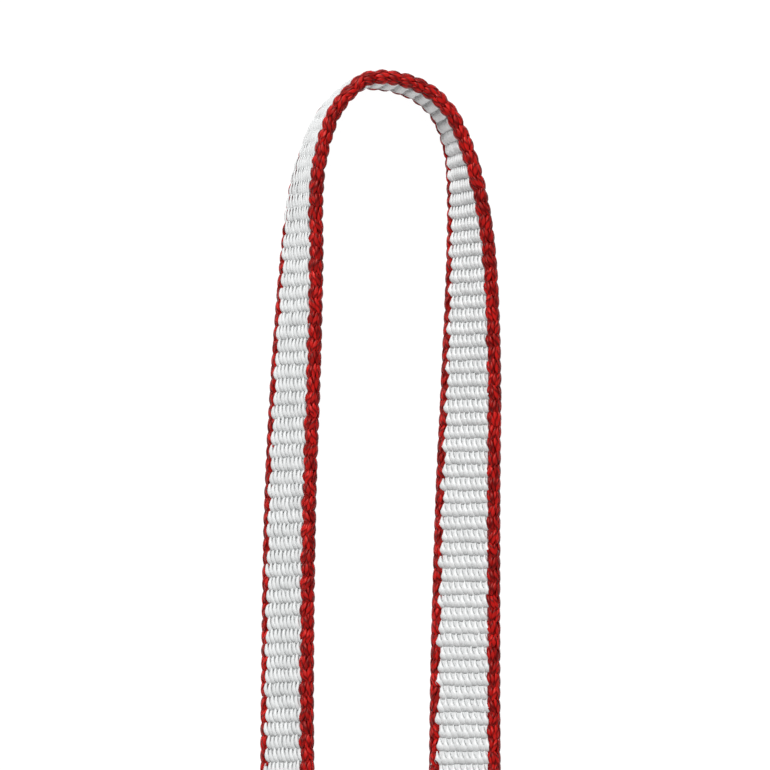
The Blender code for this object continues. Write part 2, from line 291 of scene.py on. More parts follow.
@dataclass
class TapePath:
    """The tape's middle line from its inner end to its outer end, with the frame of its section."""

    tape: TapeSizes
    joint: JointSizes
    step: float = 0.8 * MM

    points: np.ndarray = field(init=False)
    along: np.ndarray = field(init=False)
    across: np.ndarray = field(init=False)
    outward: np.ndarray = field(init=False)
    lengths: np.ndarray = field(init=False)
    starts: dict[Stretch, float] = field(init=False)

    def __post_init__(self) -> None:
        """Joins the five stretches and works out the frame at each point."""
        places: list[tuple[Vector, float]] = []
        counts: dict[Stretch, int] = {}
        for stretch, part in self.stretches().items():
            counts[stretch] = len(places)
            places += part
        self.points = np.array([place for place, _ in places])
        leans = np.radians([lean for _, lean in places])
        self.along = unit(np.gradient(self.points, axis=0))
        side = unit(np.cross(self.along, UP))
        rise = np.cross(side, self.along)
        cosine = np.cos(leans)[:, None]
        sine = np.sin(leans)[:, None]
        self.across = cosine * rise + sine * side
        self.outward = np.cross(self.across, self.along)
        steps = np.linalg.norm(np.diff(self.points, axis=0), axis=1)
        self.lengths = np.concatenate(([0.0], np.cumsum(steps)))
        self.starts = {stretch: float(self.lengths[first]) for stretch, first in counts.items()}

    def height(self, lean: float) -> float:
        """Height of the tape's middle when its lower edge rests on the surface."""
        tape = self.tape
        return tape.half_thickness + tape.edge_centre * math.cos(math.radians(lean))

    def bight(self) -> list[tuple[Vector, float]]:
        """The far bight, from the flat left leg over the crown to the flat right leg.

        Returns:
            Points of the middle line, each with its lean in degrees.
        """
        tape = self.tape
        offset = tape.leg_offset
        foot_y = tape.crown_y - ARCH_SHARES[0][1] * offset

        def leg(shares: Iterable[tuple[float, float, float]]) -> list[Vector]:
            """One leg's stations below the arch."""
            return [
                Vector((side * offset, foot_y - down * tape.twist_length, lean))
                for side, down, lean in shares
            ]

        arch = [
            Vector((side * offset, tape.crown_y - down * offset, lean))
            for side, down, lean in ARCH_SHARES
        ]
        stations = leg(reversed(LEFT_LEG_SHARES)) + arch + leg(RIGHT_LEG_SHARES)
        padded = [2 * stations[0] - stations[1], *stations, 2 * stations[-1] - stations[-2]]
        route: list[Vector] = []
        for before, start, end, after in zip(padded, padded[1:], padded[2:], padded[3:]):
            count = max(1, round((end - start).to_2d().length / self.step))
            route += [curve_between(before, start, end, after, i / count) for i in range(count)]
        return [(Vector((p.x, p.y, self.height(p.z))), p.z) for p in route]

    def stretches(self) -> dict[Stretch, list[tuple[Vector, float]]]:
        """The whole tape, stretch by stretch.

        Returns:
            For each stretch, points of the middle line with their lean in degrees.
        """
        tape = self.tape
        joint = self.joint
        far = self.bight()
        near = [(Vector((p.x, -p.y, p.z)), lean) for p, lean in reversed(far)]
        settle = (joint.hinge_y, joint.hinge_y + joint.settle_length)
        climb_end = -joint.end_y - joint.landing_clearance
        climb = (climb_end - joint.climb_length, climb_end)
        last_tack = joint.tack_places[-1] - joint.tack_spacing
        rise = (last_tack + joint.slot_length / 2 + joint.label_margin / 2, joint.label_root_y)
        layer = joint.joint_lift + tape.thickness + joint.layer_gap

        def leg(side: int, start: float, end: float, lift: Callable[[float], float]
                ) -> list[tuple[Vector, float]]:
            """A flat stretch of one leg, lifted off the surface by a height that goes with its place."""
            count = max(2, round(abs(end - start) / self.step))
            return [
                (Vector((side * tape.leg_offset, y, tape.half_thickness + lift(y))), -side * FLAT_LEAN)
                for y in np.linspace(start, end, count, endpoint=False)
            ]

        def lower_lift(y: float) -> float:
            """How far the lower layer is lifted."""
            return joint.joint_lift * (1 - smooth_step(y, *settle))

        def upper_lift(y: float) -> float:
            """How far the upper layer is lifted over the lower one and over the label."""
            return layer * smooth_step(y, *climb) + joint.label_rise * smooth_step(y, *rise)

        flat_y = far[0][0].y
        last = (Vector((-tape.leg_offset, joint.end_y,
                        tape.half_thickness + layer + joint.label_rise)), FLAT_LEAN)
        return {
            Stretch.INNER_END: leg(-1, -joint.end_y, flat_y, lower_lift),
            Stretch.FAR_BIGHT: far,
            Stretch.PLAIN_LEG: leg(1, flat_y, -flat_y, lambda y: 0.0),
            Stretch.NEAR_BIGHT: near,
            Stretch.OUTER_END: leg(-1, -flat_y, joint.end_y, upper_lift) + [last],
        }

    def span(self, stretch: Stretch) -> tuple[float, float]:
        """Where a stretch starts and ends, as lengths along the tape.

        Args:
            stretch: the stretch.

        Returns:
            Its start and its end.
        """
        order = list(Stretch)
        following = order.index(stretch) + 1
        end = self.starts[order[following]] if following < len(order) else float(self.lengths[-1])
        return self.starts[stretch], end

    def press(self) -> np.ndarray:
        """How much of its thickness the weave keeps at each point: less under the bar tacks."""
        joint = self.joint
        keep = np.ones(len(self.points))
        total = self.lengths[-1]
        for place in joint.tack_places:
            for middle in (joint.end_y + place, total - joint.end_y + place):
                distance = np.abs(self.lengths - middle)
                inside = 1 - np.clip((distance - joint.tack_length / 2) / PRESS_FADE, 0, 1)
                keep -= PRESS_DEPTH * inside
        return keep

    @property
    def crown_length(self) -> float:
        """Length along the tape to the far bight's crown."""
        return float(self.lengths[int(self.points[:, 1].argmax())])

    def shoulder(self, start: tuple[float, float], end: tuple[float, float]) -> np.ndarray:
        """A share that is 1 over one part of each bight and fades out beside it.

        Args:
            start: where it rises, as distances from the crown towards the left leg.
            end: where it falls again.

        Returns:
            The share at each point.
        """
        middle_y = self.points[:, 1]
        share = np.zeros(len(self.points))
        for crown, towards_left in ((int(middle_y.argmax()), -1), (int(middle_y.argmin()), 1)):
            distance = towards_left * (self.lengths - self.lengths[crown])
            share += [smooth_step(d, *start) * (1 - smooth_step(d, *end)) for d in distance]
        return share

    def widen(self) -> np.ndarray:
        """How far the white ground spreads over the lower edge where a bight turns into the left leg."""
        return WIDEN_BY * self.shoulder(WIDEN_START, WIDEN_END)

    def relief(self) -> np.ndarray:
        """How much of their relief the ribs keep: less where the tape bends round a bight."""
        return 1 - RELIEF_LOSS * self.shoulder(RELIEF_START, RELIEF_END)


def curve_between(before: Vector, start: Vector, end: Vector, after: Vector, share: float) -> Vector:
    """A point on the centripetal Catmull-Rom curve from start to end.

    Args:
        before: the station before start.
        start: the station that the curve leaves.
        end: the station that it reaches.
        after: the station after end.
        share: how far it has gone, from 0 to 1.

    Returns:
        The point.
    """
    least = 0.001 * MM

    def knot(first: Vector, second: Vector) -> float:
        """How far the knots of two stations lie apart."""
        return math.sqrt(max((second - first).to_2d().length, least))

    def mix(first: Vector, second: Vector, low: float, high: float) -> Vector:
        """What lies between two points whose knots are low and high."""
        return first * ((high - t) / (high - low)) + second * ((t - low) / (high - low))

    t0 = 0.0
    t1 = t0 + knot(before, start)
    t2 = t1 + knot(start, end)
    t3 = t2 + knot(end, after)
    t = t1 + (t2 - t1) * share
    a1 = mix(before, start, t0, t1)
    a2 = mix(start, end, t1, t2)
    a3 = mix(end, after, t2, t3)
    return mix(mix(a1, a2, t0, t2), mix(a2, a3, t1, t3), t1, t2)


def enabled(sockets: Iterable[Socket], name: str) -> Socket:
    """The socket of that name that is in use."""
    return next(socket for socket in sockets if socket.name == name and socket.enabled)


class Value:
    """A value in a node tree; a sum or product written with it adds the node that works it out."""

    def __init__(self, maker: "TreeMaker", socket: Socket) -> None:
        """Holds the socket that puts the value out."""
        self.maker = maker
        self.socket = socket

    def __add__(self, other: "Value | float") -> "Value":
        """The sum."""
        return self.maker.math("ADD", self, other)

    def __radd__(self, other: float) -> "Value":
        """The sum, with a plain number first."""
        return self.maker.math("ADD", other, self)

    def __sub__(self, other: "Value | float") -> "Value":
        """The difference."""
        return self.maker.math("SUBTRACT", self, other)

    def __rsub__(self, other: float) -> "Value":
        """The difference, with a plain number first."""
        return self.maker.math("SUBTRACT", other, self)

    def __mul__(self, other: "Value | float") -> "Value":
        """The product."""
        return self.maker.math("MULTIPLY", self, other)

    def __truediv__(self, other: "Value | float") -> "Value":
        """The quotient."""
        return self.maker.math("DIVIDE", self, other)

    def __rtruediv__(self, other: float) -> "Value":
        """The quotient, with a plain number first."""
        return self.maker.math("DIVIDE", other, self)

    def __mod__(self, other: "Value | float") -> "Value":
        """What is left over, which is never below 0."""
        return self.maker.math("FLOORED_MODULO", self, other)

    def __abs__(self) -> "Value":
        """Its size without its sign."""
        return self.maker.math("ABSOLUTE", self)


class TreeMaker:
    """Adds nodes to a tree, sets their inputs and links them."""

    def __init__(self, tree: bpy.types.NodeTree) -> None:
        """Works on one node tree."""
        self.tree = tree

    def add(self, kind: str, inputs: dict[Any, Any] | None = None, **settings: Any) -> Node:
        """Adds a node.

        Args:
            kind: the node's type name.
            inputs: plain or linked values for its inputs, by name or index.
            settings: the node's own settings.

        Returns:
            The node.
        """
        node = self.tree.nodes.new(kind)
        for name, value in settings.items():
            setattr(node, name, value)
        self.feed(node, inputs or {})
        return node

    def feed(self, node: Node, inputs: dict[Any, Any]) -> None:
        """Links values to a node's inputs, by name or index, and sets plain ones there.

        Args:
            node: the node.
            inputs: the values, by the input's name or index.
        """
        for key, value in inputs.items():
            socket = node.inputs[key] if isinstance(key, int) else enabled(node.inputs, key)
            if isinstance(value, Value):
                self.tree.links.new(value.socket, socket)
            else:
                socket.default_value = value

    def read(self, node: Node, output: int | str) -> Value:
        """One of the values that a node puts out."""
        socket = node.outputs[output] if isinstance(output, int) else enabled(node.outputs, output)
        return Value(self, socket)

    def result(self, kind: str, inputs: dict[Any, Any] | None = None, output: int | str = 0,
               **settings: Any) -> Value:
        """Adds a node of which one output is wanted, by default its first."""
        return self.read(self.add(kind, inputs, **settings), output)

    def given(self) -> dict[str, Value]:
        """The tree's own inputs, by name."""
        node = self.add("NodeGroupInput")
        return {socket.name: Value(self, socket) for socket in node.outputs if socket.name}

    def math(self, operation: str, first: Any, second: Any = 0.0, clamp: bool = False) -> Value:
        """A math node's result."""
        return self.result("ShaderNodeMath", {0: first, 1: second}, operation=operation, use_clamp=clamp)

    def vector(self, operation: str, first: Any, second: Any) -> Value:
        """A vector math node's result, with a number as the second input where it scales."""
        slot = 3 if operation == "SCALE" else 1
        return self.result("ShaderNodeVectorMath", {0: first, slot: second}, operation=operation)

    def combine(self, x: Any = 0.0, y: Any = 0.0, z: Any = 0.0) -> Value:
        """A vector from three numbers."""
        return self.result("ShaderNodeCombineXYZ", {0: x, 1: y, 2: z})

    def split(self, vector: Value) -> list[Value]:
        """A vector's three numbers."""
        node = self.add("ShaderNodeSeparateXYZ", {0: vector})
        return [self.read(node, axis) for axis in range(3)]


class PieceMaker(TreeMaker):
    """Adds the nodes that lay copies of one shape out on points."""

    def attribute(self, name: str, kind: str = "FLOAT") -> Value:
        """Reads a named attribute."""
        return self.result("GeometryNodeInputNamedAttribute", {"Name": name}, "Attribute", data_type=kind)

    def store(self, geometry: Value, name: str, value: Value, kind: str = "FLOAT",
              domain: str = "POINT") -> Value:
        """Keeps a value as a named attribute."""
        return self.result("GeometryNodeStoreNamedAttribute", {
            "Geometry": geometry, "Name": name, "Value": value}, data_type=kind, domain=domain)

    def random(self, seed: Value, number: int, low: float, high: float) -> Value:
        """A random number for each point, from a seed and a number of its own."""
        return self.result("FunctionNodeRandomValue", {
            "Min": low, "Max": high, "Seed": seed + float(number)}, "Value", data_type="FLOAT")

    def random_size(self, seed: Value, number: int, unevenness: Value) -> Value:
        """A random size near 1 for each point, another one along each axis.

        Args:
            seed: the seed.
            number: a number of its own.
            unevenness: how far from 1 it may go.

        Returns:
            The size.
        """
        low = 1.0 - unevenness
        high = 1.0 + unevenness
        return self.result("FunctionNodeRandomValue", {
            "Min": self.combine(low, low, low),
            "Max": self.combine(high, high, high),
            "Seed": seed + float(number),
        }, "Value", data_type="FLOAT_VECTOR")

    def turn_about(self, axis: tuple[float, float, float], angle: Value) -> Value:
        """A rotation about an axis."""
        return self.result("FunctionNodeAxisAngleToRotation", {"Axis": axis, "Angle": angle})

    def set_copies(self, points: Value, shape: Value, turn: Value, lean: Value, size: Value) -> Value:
        """Sets a copy of a shape on each point.

        Args:
            points: the points.
            shape: the object that is copied.
            turn: how each copy is turned.
            lean: how it is then turned further about its own axes.
            size: its size along each of its axes.

        Returns:
            The copies as one mesh.
        """
        rotation = self.result("FunctionNodeRotateRotation", {
            "Rotation": turn, "Rotate By": lean}, rotation_space="LOCAL")
        copies = self.result("GeometryNodeInstanceOnPoints", {
            "Points": points,
            "Instance": self.result("GeometryNodeObjectInfo", {"Object": shape}, "Geometry"),
            "Rotation": rotation,
            "Scale": size,
        })
        return self.result("GeometryNodeRealizeInstances", {0: copies})

    def number_cells(self, points: Value) -> Value:
        """Numbers the points, so that each copy set on them can have a cell of its own."""
        return self.store(points, "cell", self.result("GeometryNodeInputIndex"))

    def map_cells(self, points: Value, copies: Value) -> Value:
        """Gives every copy its own cell of a square UV map.

        Args:
            points: the numbered points that the copies were set on.
            copies: the copies as one mesh.

        Returns:
            The copies with their map.
        """
        count = self.result("GeometryNodeAttributeDomainSize", {"Geometry": points}, "Point Count",
                            component="MESH")
        side = self.math("CEIL", self.math("SQRT", count))
        cell = self.attribute("cell")
        corner = self.combine(cell % side, self.math("FLOOR", cell / side))
        own = self.attribute(OWN_MAP, "FLOAT_VECTOR")
        placed_map = self.vector("SCALE", self.vector("ADD", own, corner), 1.0 / side)
        return self.store(copies, BAKED_MAP, placed_map, "FLOAT2", "CORNER")


def make_interface(tree: bpy.types.NodeTree, inputs: dict[str, str], outputs: dict[str, str]
                   ) -> dict[str, str]:
    """Gives a tree its inputs and outputs.

    Args:
        tree: the node tree.
        inputs: the kind of each input, by name.
        outputs: the kind of each output, by name.

    Returns:
        The identifier of each input, by name.
    """
    def new_socket(name: str, direction: str, kind: str) -> str:
        """Adds an input or output and gives its identifier."""
        return tree.interface.new_socket(
            name=name, in_out=direction, socket_type=f"NodeSocket{kind}").identifier

    identifiers = {name: new_socket(name, "INPUT", kind) for name, kind in inputs.items()}
    for name, kind in outputs.items():
        new_socket(name, "OUTPUT", kind)
    return identifiers


class PieceTree:
    """A Geometry Nodes tree that makes pieces of one kind from copies of one shape."""

    name: str
    inputs: dict[str, str]

    def __init__(self) -> None:
        """Builds the tree."""
        self.tree = bpy.data.node_groups.new(self.name, "GeometryNodeTree")
        self.identifiers = make_interface(self.tree, self.inputs, {"Piece": "Geometry"})
        self.maker = PieceMaker(self.tree)
        self.given = self.maker.given()
        points, copies = self.lay_copies()
        mapped = self.maker.map_cells(points, copies)
        self.maker.add("NodeGroupOutput", {0: self.maker.result("GeometryNodeSetMaterial", {
            "Geometry": mapped, "Material": self.given["Yarn"]})})

    def lay_copies(self) -> tuple[Value, Value]:
        """The numbered points, and the copies on them as one mesh."""
        raise NotImplementedError

    def run(self, piece: Object, values: dict[str, Any]) -> Object:
        """Runs the tree on an object.

        Args:
            piece: the object.
            values: the tree's inputs, by name.

        Returns:
            The same object with the result as its plain mesh.
        """
        modifier = piece.modifiers.new(self.name, "NODES")
        modifier.node_group = self.tree
        for name, value in values.items():
            modifier[self.identifiers[name]] = value
        return settle(piece)


class WeaveTree(PieceTree):
    """Lays yarn floats out flat, rib by rib, and bends them along a tape."""

    name = "woven_floats"
    inputs = {
        "Path": "Geometry", "Ends": "Object", "Float": "Object", "Yarn": "Material",
        "First Rib": "Int", "Rib Count": "Int", "Seed": "Int",
        **dict.fromkeys((
            "Rib Pitch", "Phase", "Drift", "Drift Length", "Drift Start", "Gather", "Gather Start",
            "Gather End", "Repeat", "Edge Centre", "Edge Radius", "Lean", "Lean Spread", "Relief Share",
            "Ease", "Sink", "Unevenness"), "Float"),
    }

    def lay_copies(self) -> tuple[Value, Value]:
        """The numbered points, and the bent weave."""
        self.route = self.maker.result("GeometryNodeMeshToCurve", {0: self.given["Path"]})
        points = self.lay_out()
        return points, self.bend(self.place_floats(points))

    def lay_out(self) -> Value:
        """One point for each float: a warp end shows on one rib of each repeat.

        Each rib's floats lie one end further round the tape than those of the rib before.

        Returns:
            The points, with each float's turn, middle, beat, shade and number.
        """
        maker, given = self.maker, self.given
        ends = maker.result("GeometryNodeObjectInfo", {"Object": given["Ends"]}, "Geometry")
        ribs = maker.add("GeometryNodeDuplicateElements", {
            "Geometry": ends, "Amount": given["Rib Count"]}, domain="POINT")
        rib = maker.read(ribs, "Duplicate Index") + given["First Rib"]
        away = (rib - maker.attribute("order")) % given["Repeat"]
        kept = maker.result("GeometryNodeDeleteGeometry", {
            "Geometry": maker.read(ribs, "Geometry"),
            "Selection": maker.math("GREATER_THAN", away, 0.5),
        }, domain="POINT")
        points = maker.store(kept, "middle", self.length_along(rib))
        points = maker.store(points, "beat", 1.0 - (rib % 2.0) * 2.0)
        points = self.round_section(points)
        points = maker.store(points, "shade", maker.random(given["Seed"], 0, 0.0, 1.0))
        return maker.number_cells(points)

    def length_along(self, rib: Value) -> Value:
        """How far along the tape a rib lies.

        Ribs lie evenly, but for a slow drift, a bight that draws them in and each float's jitter.

        Args:
            rib: the rib's number.

        Returns:
            The length along the tape.
        """
        maker, given = self.maker, self.given
        pitch = given["Rib Pitch"]
        even = rib * pitch + given["Phase"]
        cycles = (even - given["Drift Start"]) / given["Drift Length"]
        drifted = even + maker.math("SINE", cycles * math.tau) * given["Drift"]
        gathered = maker.result("ShaderNodeMapRange", {
            "Value": even,
            "From Min": given["Gather Start"],
            "From Max": given["Gather End"],
            "To Min": 0.0,
            "To Max": given["Gather"],
        }, interpolation_type="SMOOTHSTEP")
        jitter = maker.random(given["Seed"], 2, -1.0, 1.0) * given["Unevenness"]
        return drifted - gathered + jitter * pitch

    def round_section(self, points: Value) -> Value:
        """Sets each point out along the tape and round its flat section with round edges.

        Args:
            points: the points, each with its place round the section.

        Returns:
            The points in place, with their turn.
        """
        maker, given = self.maker, self.given
        centre = given["Edge Centre"]
        radius = given["Edge Radius"]
        along = maker.attribute("middle")
        arc = radius * math.pi
        own = maker.attribute("place")
        half_round = centre * 2.0 + arc
        lower = maker.math("DIVIDE", own * -1.0, centre, clamp=True)
        room = maker.math("DIVIDE", half_round - abs(own), centre, clamp=True)
        slide = self.sample("widen", along) * maker.math("MINIMUM", lower, room)
        jitter = maker.random(given["Seed"], 3, -1.0, 1.0) * given["Unevenness"]
        moved = own - slide + jitter * radius
        side = maker.math("SIGN", moved)
        beyond = abs(moved) - centre
        angle = maker.math("MINIMUM", maker.math("MAXIMUM", beyond / radius, 0.0), math.pi)
        back = maker.math("MAXIMUM", beyond - arc, 0.0)
        flat = centre + maker.math("MINIMUM", beyond, 0.0) - back
        reach = flat + radius * maker.math("SINE", angle)
        return maker.result("GeometryNodeSetPosition", {
            "Geometry": maker.store(points, "turn", side * angle * -1.0),
            "Position": maker.combine(along, side * reach, radius * maker.math("COSINE", angle)),
        })

    def sample(self, name: str, along: Value, kind: str = "FLOAT", output: str = "Value") -> Value:
        """Reads the tape's middle line at a length along it.

        Args:
            name: the attribute to read.
            along: the length.
            kind: FLOAT or FLOAT_VECTOR.
            output: Value for the attribute, or Position for the middle line itself.

        Returns:
            What is there.
        """
        return self.maker.result("GeometryNodeSampleCurve", {
            "Curves": self.route, "Value": self.maker.attribute(name, kind), "Length": along,
        }, output, mode="LENGTH", data_type=kind)

    def place_floats(self, points: Value) -> Value:
        """A float at each point, leaning its own way and turned outwards.

        It is shallower at the very edge, and shallower and lower where the tape bends.

        Args:
            points: where the floats go.

        Returns:
            The floats as one mesh, still flat.
        """
        maker, given = self.maker, self.given
        seed = given["Seed"]
        steady = given["Lean"] * maker.attribute("beat")
        spread = given["Lean Spread"] * maker.random(seed, 4, -1.0, 1.0)
        lean = maker.turn_about((0.0, 0.0, 1.0), steady + spread)
        turn = maker.turn_about((1.0, 0.0, 0.0), maker.attribute("turn"))
        eased = 1.0 - abs(maker.math("SINE", maker.attribute("turn"))) * given["Ease"]
        relief = self.sample("relief", maker.attribute("middle"))
        lost = (1.0 - relief) * given["Relief Share"]
        flattened = maker.combine(1.0, 1.0, eased * (1.0 - lost))
        size = maker.vector("MULTIPLY", maker.random_size(seed, 1, given["Unevenness"]), flattened)
        inwards = maker.result("FunctionNodeRotateVector", {
            "Vector": maker.combine(z=lost * given["Sink"] * -1.0), "Rotation": turn})
        sunk = maker.result("GeometryNodeSetPosition", {"Geometry": points, "Offset": inwards})
        return maker.set_copies(sunk, given["Float"], turn, lean, size)

    def bend(self, floats: Value) -> Value:
        """Moves the flat weave on to the tape's path, and keeps its flat place as an attribute.

        Args:
            floats: the flat weave.

        Returns:
            The bent weave.
        """
        maker = self.maker
        place = maker.result("GeometryNodeInputPosition")
        flat = maker.store(floats, "flat", place, "FLOAT_VECTOR")
        along, sideways, height = maker.split(place)
        middle = self.sample("across", along, "FLOAT_VECTOR", "Position")
        across = self.sample("across", along, "FLOAT_VECTOR")
        outward = self.sample("outward", along, "FLOAT_VECTOR")
        pressed = height * self.sample("press", along)
        moved = maker.vector("ADD", middle, maker.vector("SCALE", across, sideways))
        moved = maker.vector("ADD", moved, maker.vector("SCALE", outward, pressed))
        return maker.result("GeometryNodeSetPosition", {"Geometry": flat, "Position": moved})


def new_object(name: str, data: Any) -> Object:
    """Puts a mesh, a lamp or a camera into the scene as an object at the origin.

    Args:
        name: the object's name.
        data: the mesh, lamp or camera.

    Returns:
        The object.
    """
    made = bpy.data.objects.new(name, data)
    bpy.context.scene.collection.objects.link(made)
    return made


def mesh_from(name: str, vertices: Any, faces: Any, smooth: bool = True) -> bpy.types.Mesh:
    """A mesh from its points and faces.

    Args:
        name: the mesh's name.
        vertices: the points, in metres.
        faces: the faces, each a tuple of point numbers.
        smooth: whether it is shaded smooth.

    Returns:
        The mesh.
    """
    mesh = bpy.data.meshes.new(name)
    mesh.from_pydata([tuple(map(float, v)) for v in vertices], [], [tuple(f) for f in faces])
    mesh.validate()
    mesh.shade_smooth() if smooth else mesh.shade_flat()
    return mesh


def set_attributes(mesh: bpy.types.Mesh, **values: Any) -> None:
    """Stores values for each point of a mesh.

    Args:
        mesh: the mesh.
        values: each attribute's values by name, one number or one vector for each point.
    """
    for name, given in values.items():
        rows = np.asarray(given, np.float32).reshape(len(mesh.vertices), -1)
        is_vector = rows.shape[1] > 1
        attribute = mesh.attributes.new(name, "FLOAT_VECTOR" if is_vector else "FLOAT", "POINT")
        attribute.data.foreach_set("vector" if is_vector else "value", rows.ravel())


def loft_faces(rings: int, count: int) -> list[tuple[int, ...]]:
    """The faces that join closed rings of points, one ring after the other.

    Args:
        rings: how many rings there are.
        count: how many points each ring has.

    Returns:
        The faces.
    """
    faces = []
    for i in range(rings - 1):
        for j in range(count):
            a = i * count + j
            b = i * count + (j + 1) % count
            faces.append((a, b, b + count, a + count))
    return faces


def end_caps(rings: int, count: int) -> list[tuple[int, ...]]:
    """The two faces that close a loft at its first ring and at its last."""
    last = (rings - 1) * count
    return [tuple(reversed(range(count))), tuple(range(last, last + count))]


def named_values(holder: Any, *names: str) -> dict[str, Any]:
    """A holder's values for the inputs of the same names: rib_pitch for Rib Pitch."""
    return {name.replace("_", " ").title(): getattr(holder, name) for name in names}


@dataclass(frozen=True)
class Station:
    """One place along a float: where it is in rib pitches, its width in float pitches and its depth."""

    place: float
    width: float
    depth: float


@dataclass(frozen=True)
class FloatShape:
    """One float of a warp end where it passes over a rib: a spindle of yarn that dives at both ends.

    Its stations run along it from one tip to the other, with 0 at the rib's middle, and its slant
    is how far it leans from the tape.
    """

    stations: tuple[Station, ...]
    bulge: float
    slant: float = 0.0
    section: tuple[tuple[float, float], ...] = (
        (-1.0, 0.0), (-0.7, 0.72), (0.0, 1.0), (0.7, 0.72), (1.0, 0.0))
    map_margin: float = 0.06

    @property
    def rings(self) -> int:
        """How many of its stations carry a ring: all but the two tips."""
        return len(self.stations) - 2

    def build(self, name: str, rib_pitch: float, float_pitch: float) -> Object:
        """Builds the spindle along X, with Y across it and Z outwards; its crest is at Z = 0.

        Args:
            name: the object's name.
            rib_pitch: distance from one rib to the next.
            float_pitch: distance from one float of a rib to the next.

        Returns:
            The spindle.
        """
        count = len(self.section)
        vertices = []
        strands = []
        for station in self.stations:
            x = station.place * rib_pitch
            drift = self.slant * x
            if station in (self.stations[0], self.stations[-1]):
                vertices.append((x, drift, -station.depth - self.bulge))
                strands.append((x, 0.5, 0.0))
                continue
            half_width = station.width * float_pitch / 2
            for j, (side, height) in enumerate(self.section):
                vertices.append((x, drift + side * half_width, -station.depth - self.bulge * (1 - height)))
                strands.append((x, j / (count - 1), 0.0))
        faces = []
        last = len(vertices) - 1
        for j in range(count):
            k = (j + 1) % count
            faces.append((0, 1 + j, 1 + k))
            faces.append((last, last - count + k, last - count + j))
            for i in range(self.rings - 1):
                a = 1 + i * count
                faces.append((a + j, a + j + count, a + k + count, a + k))
        mesh = mesh_from(name, vertices, faces)
        set_attributes(mesh, strand=strands)
        self.map(mesh, count)
        return new_object(name, mesh)

    def map(self, mesh: bpy.types.Mesh, count: int) -> None:
        """Lays the spindle's skin out in one square cell.

        Args:
            mesh: the spindle.
            count: points in one ring.
        """
        margin = self.map_margin
        room = 1 - 2 * margin
        own = mesh.uv_layers.new(name=OWN_MAP)
        last = len(mesh.vertices) - 1
        for polygon in mesh.polygons:
            ringed = [v for v in polygon.vertices if 0 < v < last]
            rows = [(v - 1) % count for v in ringed]
            wraps = 0 in rows and count - 1 in rows
            for loop, vertex in zip(polygon.loop_indices, polygon.vertices):
                if vertex in (0, last):
                    ring = 0 if vertex == 0 else self.rings + 1
                    across = (count - 0.5) if wraps else sum(rows) / len(rows)
                else:
                    ring = 1 + (vertex - 1) // count
                    row = (vertex - 1) % count
                    across = count if wraps and row == 0 else row
                own.data[loop].uv = (
                    margin + room * ring / (self.rings + 1),
                    margin + room * across / count,
                )


# The floats that show on the tape's outer face, on its inner face and round its edges.
OUTER_FLOAT = FloatShape((
    Station(-0.71, 0.30, 0.58 * MM),
    Station(-0.54, 0.98, 0.36 * MM),
    Station(-0.36, 1.12, 0.17 * MM),
    Station(-0.17, 1.04, 0.04 * MM),
    Station(0.02, 0.86, 0.00 * MM),
    Station(0.24, 0.62, 0.05 * MM),
    Station(0.46, 0.38, 0.15 * MM),
    Station(0.68, 0.08, 0.30 * MM),
), bulge=0.25 * MM, slant=-0.13)
INNER_FLOAT = FloatShape((
    Station(-0.72, 0.06, 0.42 * MM),
    Station(-0.50, 0.26, 0.24 * MM),
    Station(-0.30, 0.50, 0.10 * MM),
    Station(-0.12, 0.86, 0.02 * MM),
    Station(0.04, 1.28, 0.00 * MM),
    Station(0.20, 1.48, 0.10 * MM),
    Station(0.42, 1.50, 0.32 * MM),
    Station(0.66, 0.90, 0.62 * MM),
), bulge=0.24 * MM, slant=-0.13)
EDGE_FLOAT = FloatShape((
    Station(-0.76, 0.15, 0.56 * MM),
    Station(-0.50, 0.62, 0.24 * MM),
    Station(-0.25, 1.02, 0.06 * MM),
    Station(0.00, 1.15, 0.00 * MM),
    Station(0.25, 1.02, 0.06 * MM),
    Station(0.50, 0.62, 0.24 * MM),
    Station(0.76, 0.15, 0.56 * MM),
), bulge=0.30 * MM, section=((-1.0, 0.0), (-0.5, 0.86), (0.5, 0.86), (1.0, 0.0)))


@dataclass(frozen=True)
class FloatLay:
    """How the floats of one kind lie in the weave.

    The lean is how far they turn to one side and the other by turns, rib by rib. The relief share
    is how much they flatten where the tape bends, and the ease how much at its very edge. The sink
    is how far they go down for all of their relief lost.
    """

    shape: FloatShape
    repeat: float = 3.0
    lean: float = 0.0
    lean_spread: float = 0.0
    relief_share: float = 1.0
    ease: float = 0.0
    sink: float = 0.0
    unevenness: float = 0.05


@dataclass(frozen=True)
class WarpEnd:
    """One warp end: its place round the tape from the middle of the outer face, and its number."""

    place: float
    order: int


@dataclass(frozen=True)
class Side:
    """One face or edge of the tape: its pieces' name and slot, the solids' name, and what is woven."""

    name: str
    slot: str
    replaced: str
    ends: list[WarpEnd]
    pitch: float
    lay: FloatLay
    yarn: Material


